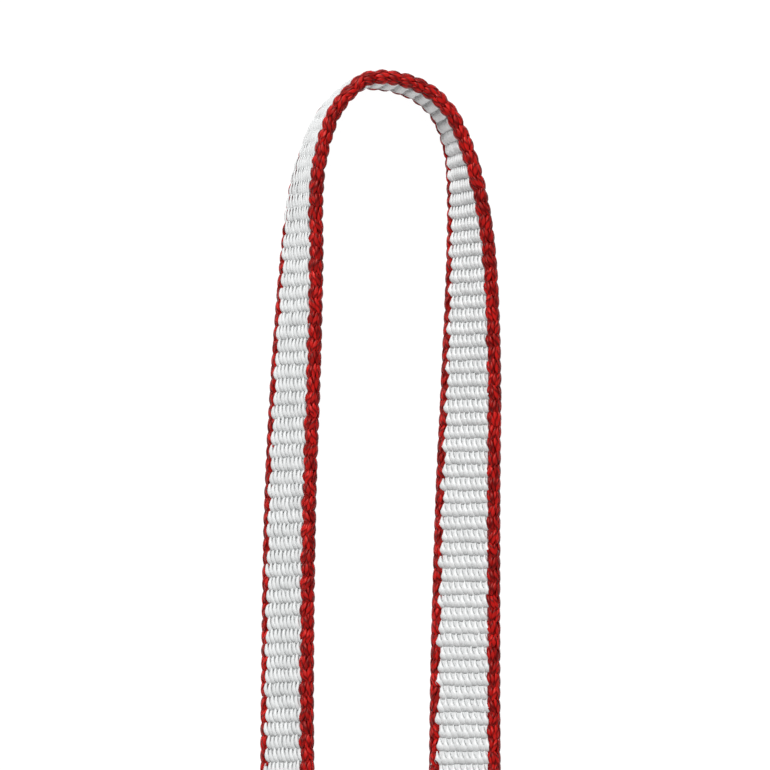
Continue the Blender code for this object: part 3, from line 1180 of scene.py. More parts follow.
@dataclass
class Weave:
    """The tape's weave: white ends on both faces and red ends round both edges."""

    tape: TapeSizes
    path: TapePath
    tree: WeaveTree
    rib_pitch: float = 1.3755 * MM
    phase: float = 1.18 * MM
    drift: float = 0.2 * MM
    drift_length: float = 199.4 * MM
    gather: float = 0.51 * MM
    gather_reach: float = 20.0 * MM
    face_ends: int = 26
    edge_ends: int = 12
    white_half_width: float = 2.90 * MM
    end_margin: float = 1.13 * MM
    outer_lay: FloatLay = FloatLay(OUTER_FLOAT, lean=math.radians(4.0), lean_spread=math.radians(5.0),
                                   relief_share=0.9, sink=0.05 * MM, unevenness=0.07)
    inner_lay: FloatLay = FloatLay(INNER_FLOAT, lean_spread=math.radians(3.0), relief_share=1.35,
                                   sink=0.16 * MM)
    edge_lay: FloatLay = FloatLay(
        EDGE_FLOAT, repeat=2.0, lean=math.radians(13.0), lean_spread=math.radians(8.0),
        relief_share=0.0, ease=0.7, unevenness=0.08)
    first_seed: int = 11
    seed_step: int = 10

    def route(self) -> Object:
        """The tape's middle line as a chain of points that carries the frame of the section."""
        path = self.path
        mesh = bpy.data.meshes.new("tape_route")
        count = len(path.points)
        mesh.from_pydata(path.points.tolist(), [(i, i + 1) for i in range(count - 1)], [])
        set_attributes(mesh, across=path.across, outward=path.outward, press=path.press(),
                       widen=path.widen(), relief=path.relief())
        return new_object("tape_route", mesh)

    @property
    def end_pitch(self) -> float:
        """Distance from one white warp end to the next."""
        return 2 * self.white_half_width / self.face_ends

    @property
    def red_pitch(self) -> float:
        """Distance from one red warp end to the next."""
        return (self.half_round - 2 * self.white_half_width) / self.edge_ends

    @property
    def half_round(self) -> float:
        """Half the way round the tape's section."""
        return 2 * self.tape.edge_centre + math.pi * self.tape.half_thickness

    def white_ends(self, face: Face) -> list[WarpEnd]:
        """The white warp ends of one face, numbered on round the tape.

        Args:
            face: the face.

        Returns:
            Its warp ends, from the lower edge to the upper one.
        """
        middle = 0.0 if face is Face.OUTER else self.half_round
        first = 0 if face is Face.OUTER else self.face_ends
        return [
            WarpEnd(middle + (i - (self.face_ends - 1) / 2) * self.end_pitch, first + i)
            for i in range(self.face_ends)
        ]

    def red_ends(self, edge: Edge) -> list[WarpEnd]:
        """The red warp ends of one edge, with their own numbers.

        Args:
            edge: the edge.

        Returns:
            Its warp ends, from the outer face to the inner one.
        """
        return [
            WarpEnd(edge.value * (self.white_half_width + (m + 0.5) * self.red_pitch), m)
            for m in range(self.edge_ends)
        ]

    def ends_object(self, name: str, ends: Sequence[WarpEnd]) -> Object:
        """The warp ends of one section, as points with attributes.

        Args:
            name: the object's name.
            ends: the warp ends.

        Returns:
            The points.
        """
        mesh = bpy.data.meshes.new(name)
        mesh.from_pydata([(0.0, end.place, 0.0) for end in ends], [], [])
        set_attributes(mesh, place=[end.place for end in ends], order=[end.order for end in ends])
        return new_object(name, mesh)

    @property
    def drift_start(self) -> float:
        """A length at which the ribs' slow drift goes through its middle."""
        return self.path.crown_length - self.drift_length / 4

    def rib_place(self, even: float) -> float:
        """Where a rib comes to lie that would lie at a length if all were even.

        Args:
            even: that length.

        Returns:
            The length along the tape.
        """
        crown = self.path.crown_length
        cycles = (even - self.drift_start) / self.drift_length
        gathered = self.gather * smooth_step(even, crown - self.gather_reach, crown + self.gather_reach)
        return even + self.drift * math.sin(math.tau * cycles) - gathered

    def first_rib(self, length: float) -> int:
        """The first rib that doesn't lie before a length.

        Args:
            length: the length along the tape.

        Returns:
            The rib's number.
        """
        rib = math.floor((length - self.phase) / self.rib_pitch) - 1
        while self.rib_place(rib * self.rib_pitch + self.phase) < length:
            rib += 1
        return rib

    def ribs(self, stretch: Stretch) -> tuple[int, int]:
        """The first rib of a stretch and how many ribs it has, clear of the tape's own ends.

        Args:
            stretch: the stretch.

        Returns:
            The first rib's number, and how many ribs there are.
        """
        start, end = self.path.span(stretch)
        total = float(self.path.lengths[-1])
        first = self.first_rib(max(start, self.end_margin))
        return first, self.first_rib(min(end, total - self.end_margin)) - first

    def weave(self, side: Side, seeds: Iterator[int]) -> None:
        """Weaves one face or edge of the tape, stretch by stretch.

        Args:
            side: the face or edge.
            seeds: what each piece's unevenness starts from.
        """
        lay = side.lay
        crown = self.path.crown_length
        shape = lay.shape.build(f"{side.name}_float", self.rib_pitch, lay.repeat * side.pitch)
        points = self.ends_object(f"{side.name}_ends", side.ends)
        for stretch in Stretch:
            piece = self.route()
            piece.name = f"{side.name}_{stretch.value}"
            first, count = self.ribs(stretch)
            self.tree.run(piece, {
                "Ends": points,
                "Float": shape,
                "Yarn": side.yarn,
                "First Rib": first,
                "Rib Count": count,
                "Seed": next(seeds),
                "Gather Start": crown - self.gather_reach,
                "Gather End": crown + self.gather_reach,
                "Edge Centre": self.tape.edge_centre,
                "Edge Radius": self.tape.half_thickness,
                **named_values(self, "rib_pitch", "phase", "drift", "drift_length", "drift_start", "gather"),
                **named_values(lay, "repeat", "lean", "lean_spread", "relief_share", "ease", "sink",
                               "unevenness"),
            })
            finish_piece(piece, [f"{side.replaced}_{stretch.value}"])
        discard(shape)
        discard(points)

    def build(self, painted_shade_white: Material, white: Material, red: Material) -> None:
        """Weaves the whole tape.

        Args:
            painted_shade_white: the ground yarn's material on the outer face: its colours painted darker, as
                shade, and its gloss duller.
            white: the same on the inner face.
            red: the edge yarn's material.
        """
        sides = [
            Side(f"white_{face.name.lower()}_face", "white_webbing", "white_webbing",
                 self.white_ends(face), self.end_pitch, lay, yarn)
            for face, lay, yarn in (
                (Face.OUTER, self.outer_lay, painted_shade_white), (Face.INNER, self.inner_lay, white))
        ]
        sides += [
            Side(f"red_{edge.name.lower()}_edge", "red_selvedge", f"{edge.name.lower()}_selvedge",
                 self.red_ends(edge), self.red_pitch, self.edge_lay, red)
            for edge in Edge
        ]
        seeds = count_from(self.first_seed, self.seed_step)
        for side in sides:
            self.weave(side, seeds)


def settle(piece: Object) -> Object:
    """Turns a piece's modifiers into a plain mesh and takes them off.

    Args:
        piece: the piece.

    Returns:
        The same piece.
    """
    bpy.context.view_layer.update()
    graph = bpy.context.evaluated_depsgraph_get()
    mesh = bpy.data.meshes.new_from_object(
        piece.evaluated_get(graph), preserve_all_data_layers=True, depsgraph=graph)
    old = piece.data
    piece.modifiers.clear()
    piece.data = mesh
    mesh.name = piece.name
    bpy.data.meshes.remove(old)
    return piece


def discard(helper: Object) -> None:
    """Removes an object that only served to build others."""
    bpy.data.objects.remove(helper, do_unlink=True)


def finish_piece(piece: Object, replaced: Sequence[str] = (), body: str = SLING_BODY) -> None:
    """Makes a piece ride on its body and reports it.

    Args:
        piece: the piece.
        replaced: the solids that it stands for.
        body: the body that it rides on.
    """
    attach(piece, body)
    if replaced:
        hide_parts(*replaced)
    log.info("%s: %d faces", piece.name, len(piece.data.polygons))


@dataclass
class Core:
    """The hidden weft and stuffer yarns under the floats: a slim band with a red rim, whose colour is
    painted dark as shade.
    """

    path: TapePath
    tape: TapeSizes
    half_height: float = 0.38 * MM
    white_shade: float = 0.4
    # The red rims take the red yarn's darkest colour: painted shade, so that the red core between the red
    # floats reads as shadow.
    red_painted_shade: float = 1.0
    rim_height: float = 0.62 * MM
    white_reach: float = 2.72 * MM
    edge_points: int = 5
    sharp_angle: float = math.radians(40.0)

    def band(self, name: str, outline: Sequence[tuple[float, float]], yarn: Material,
             shade: float) -> None:
        """Lofts a closed outline along the tape, from one sealed end into the other.

        Args:
            name: the piece's name.
            outline: the section's points (across, outward).
            yarn: its material.
            shade: how much of the yarn's darker colour it takes.
        """
        path = self.path
        inside = slice(1, -1)
        points = path.points[inside]
        rings = [
            points + across * path.across[inside] + outward * path.outward[inside]
            for across, outward in outline
        ]
        total = len(points)
        count = len(outline)
        faces = loft_faces(total, count) + end_caps(total, count)
        mesh = mesh_from(name, np.stack(rings, axis=1).reshape(-1, 3), faces)
        mesh.set_sharp_from_angle(angle=self.sharp_angle)
        flat = np.zeros((total, count, 3))
        flat[..., 0] = path.lengths[inside, None]
        flat[..., 1:] = outline
        set_attributes(mesh, flat=flat, shade=np.full(total * count, shade))
        mesh.materials.append(yarn)
        finish_piece(new_object(name, mesh))

    def build(self, white: Material, red: Material) -> None:
        """Builds the white band and the two red rims.

        Args:
            white: the ground yarn's material.
            red: the edge yarn's material.
        """
        half = self.half_height
        reach = self.white_reach
        self.band("weft_ground", [(-reach, -half), (reach, -half), (reach, half), (-reach, half)],
                  white, self.white_shade)
        centre = self.tape.edge_centre
        for edge in Edge:
            rim = self.rim_height
            outline = [(reach, -half)]
            for i in range(self.edge_points):
                angle = -math.pi / 2 + math.pi * i / (self.edge_points - 1)
                outline.append((centre + rim * math.cos(angle), rim * math.sin(angle)))
            outline.append((reach, half))
            if edge is Edge.LOWER:
                outline = [(-across, outward) for across, outward in reversed(outline)]
            self.band(f"weft_{edge.name.lower()}_edge", outline, red, self.red_painted_shade)


class TackTree(PieceTree):
    """Lays passes of thread side by side, leaning one way and the other by turns."""

    name = "satin_stitches"
    inputs = {
        "Geometry": "Geometry", "Pass": "Object", "Yarn": "Material", "Pass Count": "Int", "Seed": "Int",
        **dict.fromkeys(("Start", "Step", "Turn"), "Vector"),
        **dict.fromkeys(("Lean", "Lean Spread", "Lift Spread", "Unevenness"), "Float"),
    }

    def lay_copies(self) -> tuple[Value, Value]:
        """The numbered points, and the passes on them."""
        maker, given = self.maker, self.given
        seed = given["Seed"]
        line = maker.result("GeometryNodeMeshLine", {
            "Count": given["Pass Count"], "Start Location": given["Start"], "Offset": given["Step"],
        }, mode="OFFSET")
        lift = maker.combine(z=given["Lift Spread"] * maker.random(seed, 3, -1.0, 1.0))
        points = maker.result("GeometryNodeSetPosition", {"Geometry": line, "Offset": lift})
        points = maker.store(points, "shade", maker.random(seed, 0, 0.0, 1.0))
        points = maker.number_cells(points)
        side = 1.0 - (maker.result("GeometryNodeInputIndex") % 2.0) * 2.0
        spread = given["Lean Spread"] * maker.random(seed, 1, -1.0, 1.0)
        lean = maker.turn_about((0.0, 0.0, 1.0), side * given["Lean"] + spread)
        turn = maker.result("FunctionNodeEulerToRotation", {0: given["Turn"]})
        size = maker.random_size(seed, 2, given["Unevenness"])
        return points, maker.set_copies(points, given["Pass"], turn, lean, size)


@dataclass(frozen=True)
class ThreadPass:
    """One pass of sewing thread: it rises out of its hole, lies over the tape and dives again."""

    diameter: float = 0.36 * MM
    sides: int = 6
    rings: int = 9
    slimming: float = 0.3
    map_margin: float = 0.05
    cap_share: float = 0.8

    def build(self, name: str, span: float, crown: float, dive: float) -> Object:
        """Builds the pass along X; Z = 0 is the tape's face under its thread's middle line.

        Args:
            name: the object's name.
            span: distance between its two holes.
            crown: how far its middle is raised.
            dive: how deep its ends go.

        Returns:
            The pass.
        """
        vertices = []
        places = []
        reach = span / 2 + self.diameter / 2
        for i in range(self.rings):
            turn = math.pi * i / (self.rings - 1)
            x = -reach * math.cos(turn)
            share = abs(x) / reach
            rise = crown * (1 - share ** 2)
            drop = dive * smooth_step(share, 1 - 2 * self.diameter / reach, 1.0) ** 2
            slim = 1 - self.slimming * smooth_step(share, 1 - self.diameter / reach, 1.0)
            radius = self.diameter / 2 * slim
            for j in range(self.sides):
                angle = math.tau * (j + 0.5) / self.sides
                vertices.append((x, radius * math.cos(angle), rise - drop + radius * math.sin(angle)))
                places.append((x, (j + 0.5) / self.sides, 0.0))
        faces = loft_faces(self.rings, self.sides) + end_caps(self.rings, self.sides)
        mesh = mesh_from(name, vertices, faces)
        recalculate_faces(mesh)
        set_attributes(mesh, flat=places)
        self.map(mesh)
        return new_object(name, mesh)

    def map(self, mesh: bpy.types.Mesh) -> None:
        """Lays the pass's skin out in one square cell, its ends as thin strips.

        Args:
            mesh: the pass.
        """
        margin = self.map_margin
        room = 1 - 2 * margin
        own = mesh.uv_layers.new(name=OWN_MAP)
        for polygon in mesh.polygons:
            rows = [v % self.sides for v in polygon.vertices]
            wraps = 0 in rows and self.sides - 1 in rows
            capped = len(rows) == self.sides
            for loop, vertex in zip(polygon.loop_indices, polygon.vertices):
                ring, row = divmod(vertex, self.sides)
                around = self.sides if wraps and row == 0 and not capped else row
                along = ring / (self.rings - 1)
                if capped:
                    bow = margin * self.cap_share * math.sin(math.pi * row / self.sides)
                    along += bow if ring else -bow
                own.data[loop].uv = (margin + room * along, margin + room * around / self.sides)


@dataclass
class BarTacks:
    """The four bar tacks of the joint: dense satin passes on the upper face and underneath."""

    tape: TapeSizes
    joint: JointSizes
    tree: TackTree
    thread: ThreadPass = ThreadPass()
    pitch: float = 0.29 * MM
    crown: float = 0.16 * MM
    sunk: float = 0.06 * MM
    bobbin_crown: float = 0.06 * MM
    dive: float = 0.7 * MM
    lean_spread: float = math.radians(1.6)
    lift_spread: float = 0.02 * MM
    unevenness: float = 0.04
    first_seed: int = 100
    seed_step: int = 10

    def faces(self, number: int) -> dict[str, tuple[float, float]]:
        """Height of the faces that a tack's two threads lie on, with which way each looks.

        Args:
            number: the tack's number, from 1.

        Returns:
            For each kind of thread the height, and 1 where the face looks up or -1 where it looks down.
        """
        joint = self.joint
        raised = joint.label_rise if number == joint.tack_count else 0.0
        bottom = joint.joint_lift
        top = bottom + 2 * self.tape.thickness + joint.layer_gap + raised
        loss = PRESS_DEPTH * self.tape.half_thickness
        return {"needle": (top - loss, 1.0), "bobbin": (bottom + loss, -1.0)}

    def sew(self, number: int, kind: str, height: float, way: float, shape: Object,
            thread: Material) -> None:
        """Sews one face of one tack.

        Args:
            number: the tack's number.
            kind: needle or bobbin.
            height: the height of the tape's face there.
            way: 1 where the face looks up and -1 where it looks down.
            shape: one pass.
            thread: the thread's material.
        """
        joint = self.joint
        name = f"bar_tack_{number}_{kind}_stitches"
        count = round(joint.tack_length / self.pitch) + 1
        start = joint.tack_places[number - 1] - self.pitch * (count - 1) / 2
        piece = self.tree.run(new_object(name, bpy.data.meshes.new(name)), {
            "Pass": shape,
            "Yarn": thread,
            "Pass Count": count,
            "Seed": self.first_seed + self.seed_step * number + (1 if way > 0 else 0),
            "Start": (-self.tape.leg_offset, start, height + way * (self.thread.diameter / 2 - self.sunk)),
            "Step": (0.0, self.pitch, 0.0),
            "Turn": (0.0, 0.0 if way > 0 else math.pi, 0.0),
            "Lean": math.atan(self.pitch / 2 / joint.tack_span),
            **named_values(self, "lean_spread", "lift_spread", "unevenness"),
        })
        finish_piece(piece, [f"bar_tack_{number}_{kind}_thread"])

    def build(self, thread: Material) -> None:
        """Sews the four tacks.

        Args:
            thread: the thread's material.
        """
        span = self.joint.tack_span
        shapes = {
            "needle": self.thread.build("needle_pass", span, self.crown, self.dive),
            "bobbin": self.thread.build("bobbin_pass", span, self.bobbin_crown, self.dive),
        }
        for number in range(1, self.joint.tack_count + 1):
            for kind, (height, way) in self.faces(number).items():
                self.sew(number, kind, height, way, shapes[kind], thread)
        for shape in shapes.values():
            discard(shape)


@dataclass
class Label:
    """The bare sewn-in label: one thin woven strip, held by the last tack and free beyond the joint."""

    tape: TapeSizes
    joint: JointSizes
    row_step: float = 0.5 * MM
    columns: int = 20
    corner_rows: int = 8
    sag: float = 0.08 * MM
    follow_share: float = 0.85
    curl_start: float = 12.0 * MM
    curl: float = 1.5 * MM
    cupping: float = 0.22 * MM
    hem_width: float = 0.35 * MM
    hem_rise: float = 0.04 * MM
    shade: float = 0.5

    @property
    def middle_height(self) -> float:
        """Height of the label's middle between the two layers."""
        joint = self.joint
        return joint.joint_lift + self.tape.thickness + joint.label_gap + joint.label_thickness / 2

    @property
    def end_y(self) -> float:
        """Where the label's free end lies."""
        return self.joint.hinge_y + self.joint.label_free_length

    def height(self, y: float, share: float) -> float:
        """Height of the label's middle surface.

        Args:
            y: place along the joint.
            share: place across the label, from -1 to 1.

        Returns:
            The height: flat in the joint, then sagging on to the layer below and curling up again.
        """
        joint = self.joint
        fall = joint.joint_lift * smooth_step(y, joint.hinge_y, joint.hinge_y + joint.settle_length)
        free = smooth_step(y, joint.hinge_y, joint.hinge_y + joint.settle_length / 2)
        beyond = max(y - joint.hinge_y - self.curl_start, 0.0)
        rise = self.curl * (beyond / (joint.label_free_length - self.curl_start)) ** 2
        return (self.middle_height - self.sag * free - self.follow_share * fall + rise
                + self.cupping * share ** 2 * free)

    def rows(self) -> list[tuple[float, float]]:
        """Places along the label, each with half its width there; its free corners are round."""
        joint = self.joint
        half_width = joint.label_width / 2
        radius = joint.label_corner_radius
        count = round((self.end_y - radius - joint.label_root_y) / self.row_step)
        rows = [(y, half_width) for y in np.linspace(joint.label_root_y, self.end_y - radius, count)]
        for i in range(1, self.corner_rows + 1):
            angle = math.pi / 2 * i / self.corner_rows
            rows.append((self.end_y - radius * (1 - math.sin(angle)),
                         half_width - radius * (1 - math.cos(angle))))
        return rows

    def build(self, cloth: Material) -> None:
        """Builds the strip.

        Args:
            cloth: the label's material.
        """
        joint = self.joint
        rows = self.rows()
        half_thickness = joint.label_thickness / 2
        vertices = []
        places = []
        for side in (1, -1):
            for y, half_width in rows:
                for j in range(self.columns + 1):
                    share = -math.cos(math.pi * j / self.columns)
                    inset = half_width * (1 - abs(share))
                    rim = math.sqrt(max(0.0, 1 - max(0.0, 1 - inset / half_thickness) ** 2))
                    hem = self.hem_rise * smooth_step(self.hem_width - inset, 0.0, self.hem_width / 2)
                    rise = side * (half_thickness + hem) * rim
                    x = share * half_width
                    vertices.append((x - self.tape.leg_offset, y, self.height(y, share) + rise))
                    places.append((y, x, rise))
        faces = self.shell_faces(len(rows))
        mesh = mesh_from("label_strip", vertices, faces)
        set_attributes(mesh, flat=places, shade=np.full(len(vertices), self.shade))
        recalculate_faces(mesh)
        mesh.materials.append(cloth)
        strip = new_object("label_strip", mesh)
        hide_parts("label_tab", "label_flap")
        joint.hinge_y - LABEL_BEND
        joint.hinge_y + LABEL_BEND
        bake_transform(strip)
        log.info("%s: %d faces", strip.name, len(mesh.polygons))

    def shell_faces(self, row_count: int) -> list[tuple[int, ...]]:
        """The strip's faces: both sides, and the rims that join them at the root and the free end.

        Args:
            row_count: how many rows each side has.

        Returns:
            The faces; along the two long edges the sides' points coincide and are merged later.
        """
        width = self.columns + 1
        total = row_count * width
        faces = []
        for side in range(2):
            for i in range(row_count - 1):
                for j in range(self.columns):
                    a = side * total + i * width + j
                    faces.append((a, a + 1, a + 1 + width, a + width))
        for row in (0, row_count - 1):
            for j in range(self.columns):
                a = row * width + j
                faces.append((a, a + 1, a + 1 + total, a + total))
        return faces


@dataclass
class SealedEnd:
    """A cut end of the tape, melted shut: a fused lip that swells a little and closes over the yarns."""

    path: TapePath
    tape: TapeSizes
    length: float = 1.0 * MM
    around: int = 72
    edge_blend: float = 0.25 * MM
    lump: float = 0.03
    lump_counts: tuple[int, int] = (9, 5)
    lump_offset: float = 1.3
    profile: tuple[tuple[float, float], ...] = (
        (0.0, 0.80), (0.20, 0.90), (0.40, 0.96), (0.60, 0.99), (0.76, 0.97), (0.88, 0.88), (0.96, 0.68),
        (1.0, 0.36), (1.0, 0.05))

    def section(self, share: float) -> tuple[float, float]:
        """A point of the tape's section, as far round it as the share says.

        Args:
            share: 0 at the tip of one edge, 0.5 at that of the other and 1 back at the first.

        Returns:
            Its place (across, outward).
        """
        centre = self.tape.edge_centre
        radius = self.tape.half_thickness
        side = 1.0 if share < 0.5 else -1.0
        quarter = math.pi / 2 * radius
        place = min(share, 1 - share) * 4 * (centre + quarter)
        if place < quarter:
            angle = place / radius
            return -centre - radius * math.cos(angle), side * radius * math.sin(angle)
        place -= quarter
        if place < 2 * centre:
            return place - centre, side * radius
        angle = (place - 2 * centre) / radius
        return centre + radius * math.sin(angle), side * radius * math.cos(angle)

    def build(self, name: str, at_start: bool, melt: Material, red_from: float) -> None:
        """Builds one sealed end.

        Args:
            name: the piece's name.
            at_start: whether it is where the tape starts.
            melt: the fused yarn's material.
            red_from: how far from the middle the red edge starts.
        """
        path = self.path
        last = 0 if at_start else len(path.points) - 1
        way = 1.0 if at_start else -1.0
        origin, along = path.points[last], way * path.along[last]
        across, outward = path.across[last], path.outward[last]
        many, few = self.lump_counts
        vertices = []
        reds = []
        places = []
        for reach, size in self.profile:
            for i in range(self.around):
                y, z = self.section(i / self.around)
                turn = math.tau * i / self.around
                wave = math.sin(many * turn) + math.sin(few * turn + self.lump_offset)
                grown = size * (1 + self.lump * wave)
                depth = self.length * (1 - reach)
                straight = min(max(y, -self.tape.edge_centre), self.tape.edge_centre)
                y_rim = straight + (y - straight) * grown
                vertices.append(origin + along * depth + across * y_rim + outward * z * grown)
                reds.append(smooth_step(abs(y), red_from - self.edge_blend, red_from + self.edge_blend))
                places.append((depth, y, z))
        faces = loft_faces(len(self.profile), self.around)
        for first in (0, (len(self.profile) - 1) * self.around):
            for j in range(self.around // 2):
                corners = (j, j + 1, self.around - j - 1, (self.around - j) % self.around)
                faces.append(tuple(first + corner for corner in dict.fromkeys(corners)))
        mesh = mesh_from(name, vertices, faces)
        set_attributes(mesh, red=reds, flat=places)
        recalculate_faces(mesh)
        mesh.materials.append(melt)
        finish_piece(new_object(name, mesh))


def recalculate_faces(mesh: bpy.types.Mesh) -> None:
    """Merges a closed mesh's doubled points and turns its faces outwards.

    Args:
        mesh: the mesh.
    """
    work = bmesh.new()
    work.from_mesh(mesh)
    bmesh.ops.remove_doubles(work, verts=work.verts, dist=MERGE_DISTANCE)
    bmesh.ops.recalc_face_normals(work, faces=work.faces)
    work.to_mesh(mesh)
    work.free()


Pattern = Callable[[TreeMaker, dict[str, Value]], tuple[Value, Value]]


def pattern_group(name: str, numbers: Sequence[str], draw: Pattern) -> bpy.types.NodeTree:
    """A shader node group that reads a place and puts out a mask and a height.

    Args:
        name: its name.
        numbers: the names of its other inputs.
        draw: works the mask and the height out.

    Returns:
        The group.
    """
    tree = bpy.data.node_groups.new(name, "ShaderNodeTree")
    make_interface(tree, {"Place": "Vector", **dict.fromkeys(numbers, "Float")},
                   {"Mask": "Float", "Height": "Float"})
    maker = TreeMaker(tree)
    mask, height = draw(maker, maker.given())
    maker.add("NodeGroupOutput", {0: mask, 1: height})
    return tree


def draw_plies(maker: TreeMaker, given: dict[str, Value]) -> tuple[Value, Value]:
    """The twisted plies of a thread: a mask of its grooves and a height.

    Args:
        maker: adds the nodes.
        given: the group's inputs.

    Returns:
        The mask and the height.
    """
    along, around, _ = maker.split(given["Place"])
    turned = along / given["Lay Length"] + around
    height = 0.5 + maker.math("COSINE", turned * given["Plies"] * math.tau) * 0.5
    return maker.math("POWER", 1.0 - height, GROOVE_SHARPNESS), height


def draw_cloth(maker: TreeMaker, given: dict[str, Value]) -> tuple[Value, Value]:
    """The fine plain weave of the label: a mask of the gaps between its threads and a height.

    Args:
        maker: adds the nodes.
        given: the group's inputs.

    Returns:
        The mask and the height.
    """
    along, across, _ = maker.split(given["Place"])

    def ridge(place: Value, pitch: Value) -> Value:
        """How high the cloth stands across threads of one pitch."""
        return abs(maker.math("SINE", place / pitch * math.pi))

    ends = (1 - END_RELIEF) + ridge(across, given["End Pitch"]) * END_RELIEF
    height = ridge(along, given["Pick Pitch"]) * ends
    return maker.math("POWER", 1.0 - height, GAP_SHARPNESS), height


def draw_filaments(maker: TreeMaker, given: dict[str, Value]) -> tuple[Value, Value]:
    """Fine filaments along a yarn, from the weave's flat place: a mask and a height.

    Args:
        maker: adds the nodes.
        given: the group's inputs.

    Returns:
        The mask and the height.
    """
    stretch = maker.combine(given["Along"], given["Across"], given["Across"])
    noise = maker.result("ShaderNodeTexNoise", {
        "Vector": maker.vector("MULTIPLY", given["Place"], stretch),
        "Scale": 1.0,
        "Detail": FILAMENT_DETAIL,
        "Roughness": FILAMENT_ROUGHNESS,
    })
    low, high = FILAMENT_SPAN
    return maker.result("ShaderNodeMapRange", {"Value": noise, "From Min": low, "From Max": high}), noise


class SurfaceMaker(TreeMaker):
    """Adds nodes to a new material."""

    def __init__(self, name: str) -> None:
        """Makes the material, with a plain shader.

        Args:
            name: the material's name.
        """
        self.material = bpy.data.materials.new(name)
        self.material.use_nodes = True
        super().__init__(self.material.node_tree)
        self.shader = self.tree.nodes["Principled BSDF"]

    def number(self, name: str) -> Value:
        """A number that the mesh carries."""
        return self.result("ShaderNodeAttribute", output="Fac", attribute_name=name)

    def place(self, name: str = "flat") -> Value:
        """A place that the mesh carries, by default its flat one."""
        return self.result("ShaderNodeAttribute", output="Vector", attribute_name=name)

    def noise(self, scale: float) -> Value:
        """Soft noise over the flat place."""
        return self.result("ShaderNodeTexNoise", {
            "Vector": self.place(), "Scale": scale, "Detail": NOISE_DETAIL})

    def pattern(self, group: bpy.types.NodeTree, place: Value, values: dict[str, float]
                ) -> tuple[Value, Value]:
        """A pattern's mask and height at a place."""
        node = self.add("ShaderNodeGroup", {"Place": place, **values}, node_tree=group)
        return self.read(node, "Mask"), self.read(node, "Height")

    def blend(self, first: Value, second: Value) -> Value:
        """The sum of two shares, kept between 0 and 1."""
        return self.math("ADD", first, second, clamp=True)


# What a finish draws: the share of its dark colour, its height and other inputs of the shader.
Drawn = tuple[Value, Value, dict[str, Any]]


@dataclass(frozen=True)
class Finish:
    """A finish: two colours, how they mix over the surface, its fine relief and its gloss."""

    name: str
    light: Colour
    dark: Colour
    roughness: float = 0.4
    bump: float = 0.25
    bump_height: float = 0.03 * MM

    def make(self, *patterns: bpy.types.NodeTree) -> Material:
        """Makes the material.

        Args:
            patterns: the node groups that it is drawn with.

        Returns:
            The material.
        """
        maker = SurfaceMaker(self.name)
        share, height, gloss = self.draw(maker, *patterns)
        colour = maker.result("ShaderNodeMix", {
            "Factor": share, "A": (*self.light, 1.0), "B": (*self.dark, 1.0)}, "Result", data_type="RGBA")
        relief = maker.result("ShaderNodeBump", {
            "Height": height, "Strength": self.bump, "Distance": self.bump_height})
        maker.feed(maker.shader, {
            "Base Color": colour, "Normal": relief, "Roughness": self.roughness, **gloss})
        return maker.material

    def draw(self, maker: SurfaceMaker, *patterns: bpy.types.NodeTree) -> Drawn:
        """Draws the finish with the material's nodes and its patterns."""
        raise NotImplementedError


@dataclass(frozen=True)
class ThreadFinish(Finish):
    """A twisted sewing thread, with painted shade in the grooves between its plies."""

    roughness: float = 0.38
    specular: float = 0.35
    plies: float = 3.0
    lay_length: float = 1.3 * MM
    # The share of the dark colour in the grooves between the plies: painted shade.
    groove_painted_shade: float = 0.7
    bump: float = 0.8
    bump_height: float = 0.06 * MM
    spread: float = 0.35

    def draw(self, maker: SurfaceMaker, twists: bpy.types.NodeTree) -> Drawn:
        """Draws painted shade in the grooves, and each stitch in its own tone.

        Args:
            maker: the material's nodes.
            twists: the node group of twisted plies.

        Returns:
            What the shader gets.
        """
        grooves, height = maker.pattern(twists, maker.place(), named_values(self, "lay_length", "plies"))
        share = maker.blend(maker.number("shade") * self.spread, grooves * self.groove_painted_shade)
        return share, height, {"Specular IOR Level": self.specular}


@dataclass(frozen=True)
class LabelFinish(Finish):
    """The label: fine plain-woven tape, slightly uneven in tone, with a soft sheen and painted shade in the
    gaps between its threads.
    """

    pick_pitch: float = 0.17 * MM
    end_pitch: float = 0.12 * MM
    roughness: float = 0.5
    sheen: float = 0.2
    # The share of the dark colour in the gaps between the threads: painted shade.
    gap_painted_shade: float = 0.55
    cloud_share: float = 0.35
    cloud_scale: float = 260.0
    bump: float = 0.5
    bump_height: float = 0.02 * MM

    def draw(self, maker: SurfaceMaker, cloth: bpy.types.NodeTree) -> Drawn:
        """Draws painted shade in the gaps between its threads, under soft clouds of uneven tone.

        Args:
            maker: the material's nodes.
            cloth: the node group of the label's weave.

        Returns:
            What the shader gets.
        """
        gaps, height = maker.pattern(cloth, maker.place(), named_values(self, "pick_pitch", "end_pitch"))
        share = maker.blend(gaps * self.gap_painted_shade, maker.noise(self.cloud_scale) * self.cloud_share)
        return share, height, {"Sheen Weight": self.sheen}


@dataclass(frozen=True)
class MeltFinish(Finish):
    """Fused yarn at a cut end: glassy, uneven, white in the ground and dark red at the edges."""

    roughness: float = 0.28
    lump_scale: float = 1800.0
    bump: float = 0.6
    bump_height: float = 0.12 * MM
    border: float = 0.35
    border_span: tuple[float, float] = (0.35, 0.65)

    def draw(self, maker: SurfaceMaker) -> Drawn:
        """Draws the uneven border along which the red runs into the white.

        Args:
            maker: the material's nodes.

        Returns:
            What the shader gets.
        """
        lumps = maker.noise(self.lump_scale)
        strayed = maker.blend(maker.number("red"), (lumps - 0.5) * self.border)
        low, high = self.border_span
        share = maker.result("ShaderNodeMapRange", {"Value": strayed, "From Min": low, "From Max": high})
        return share, lumps, {}


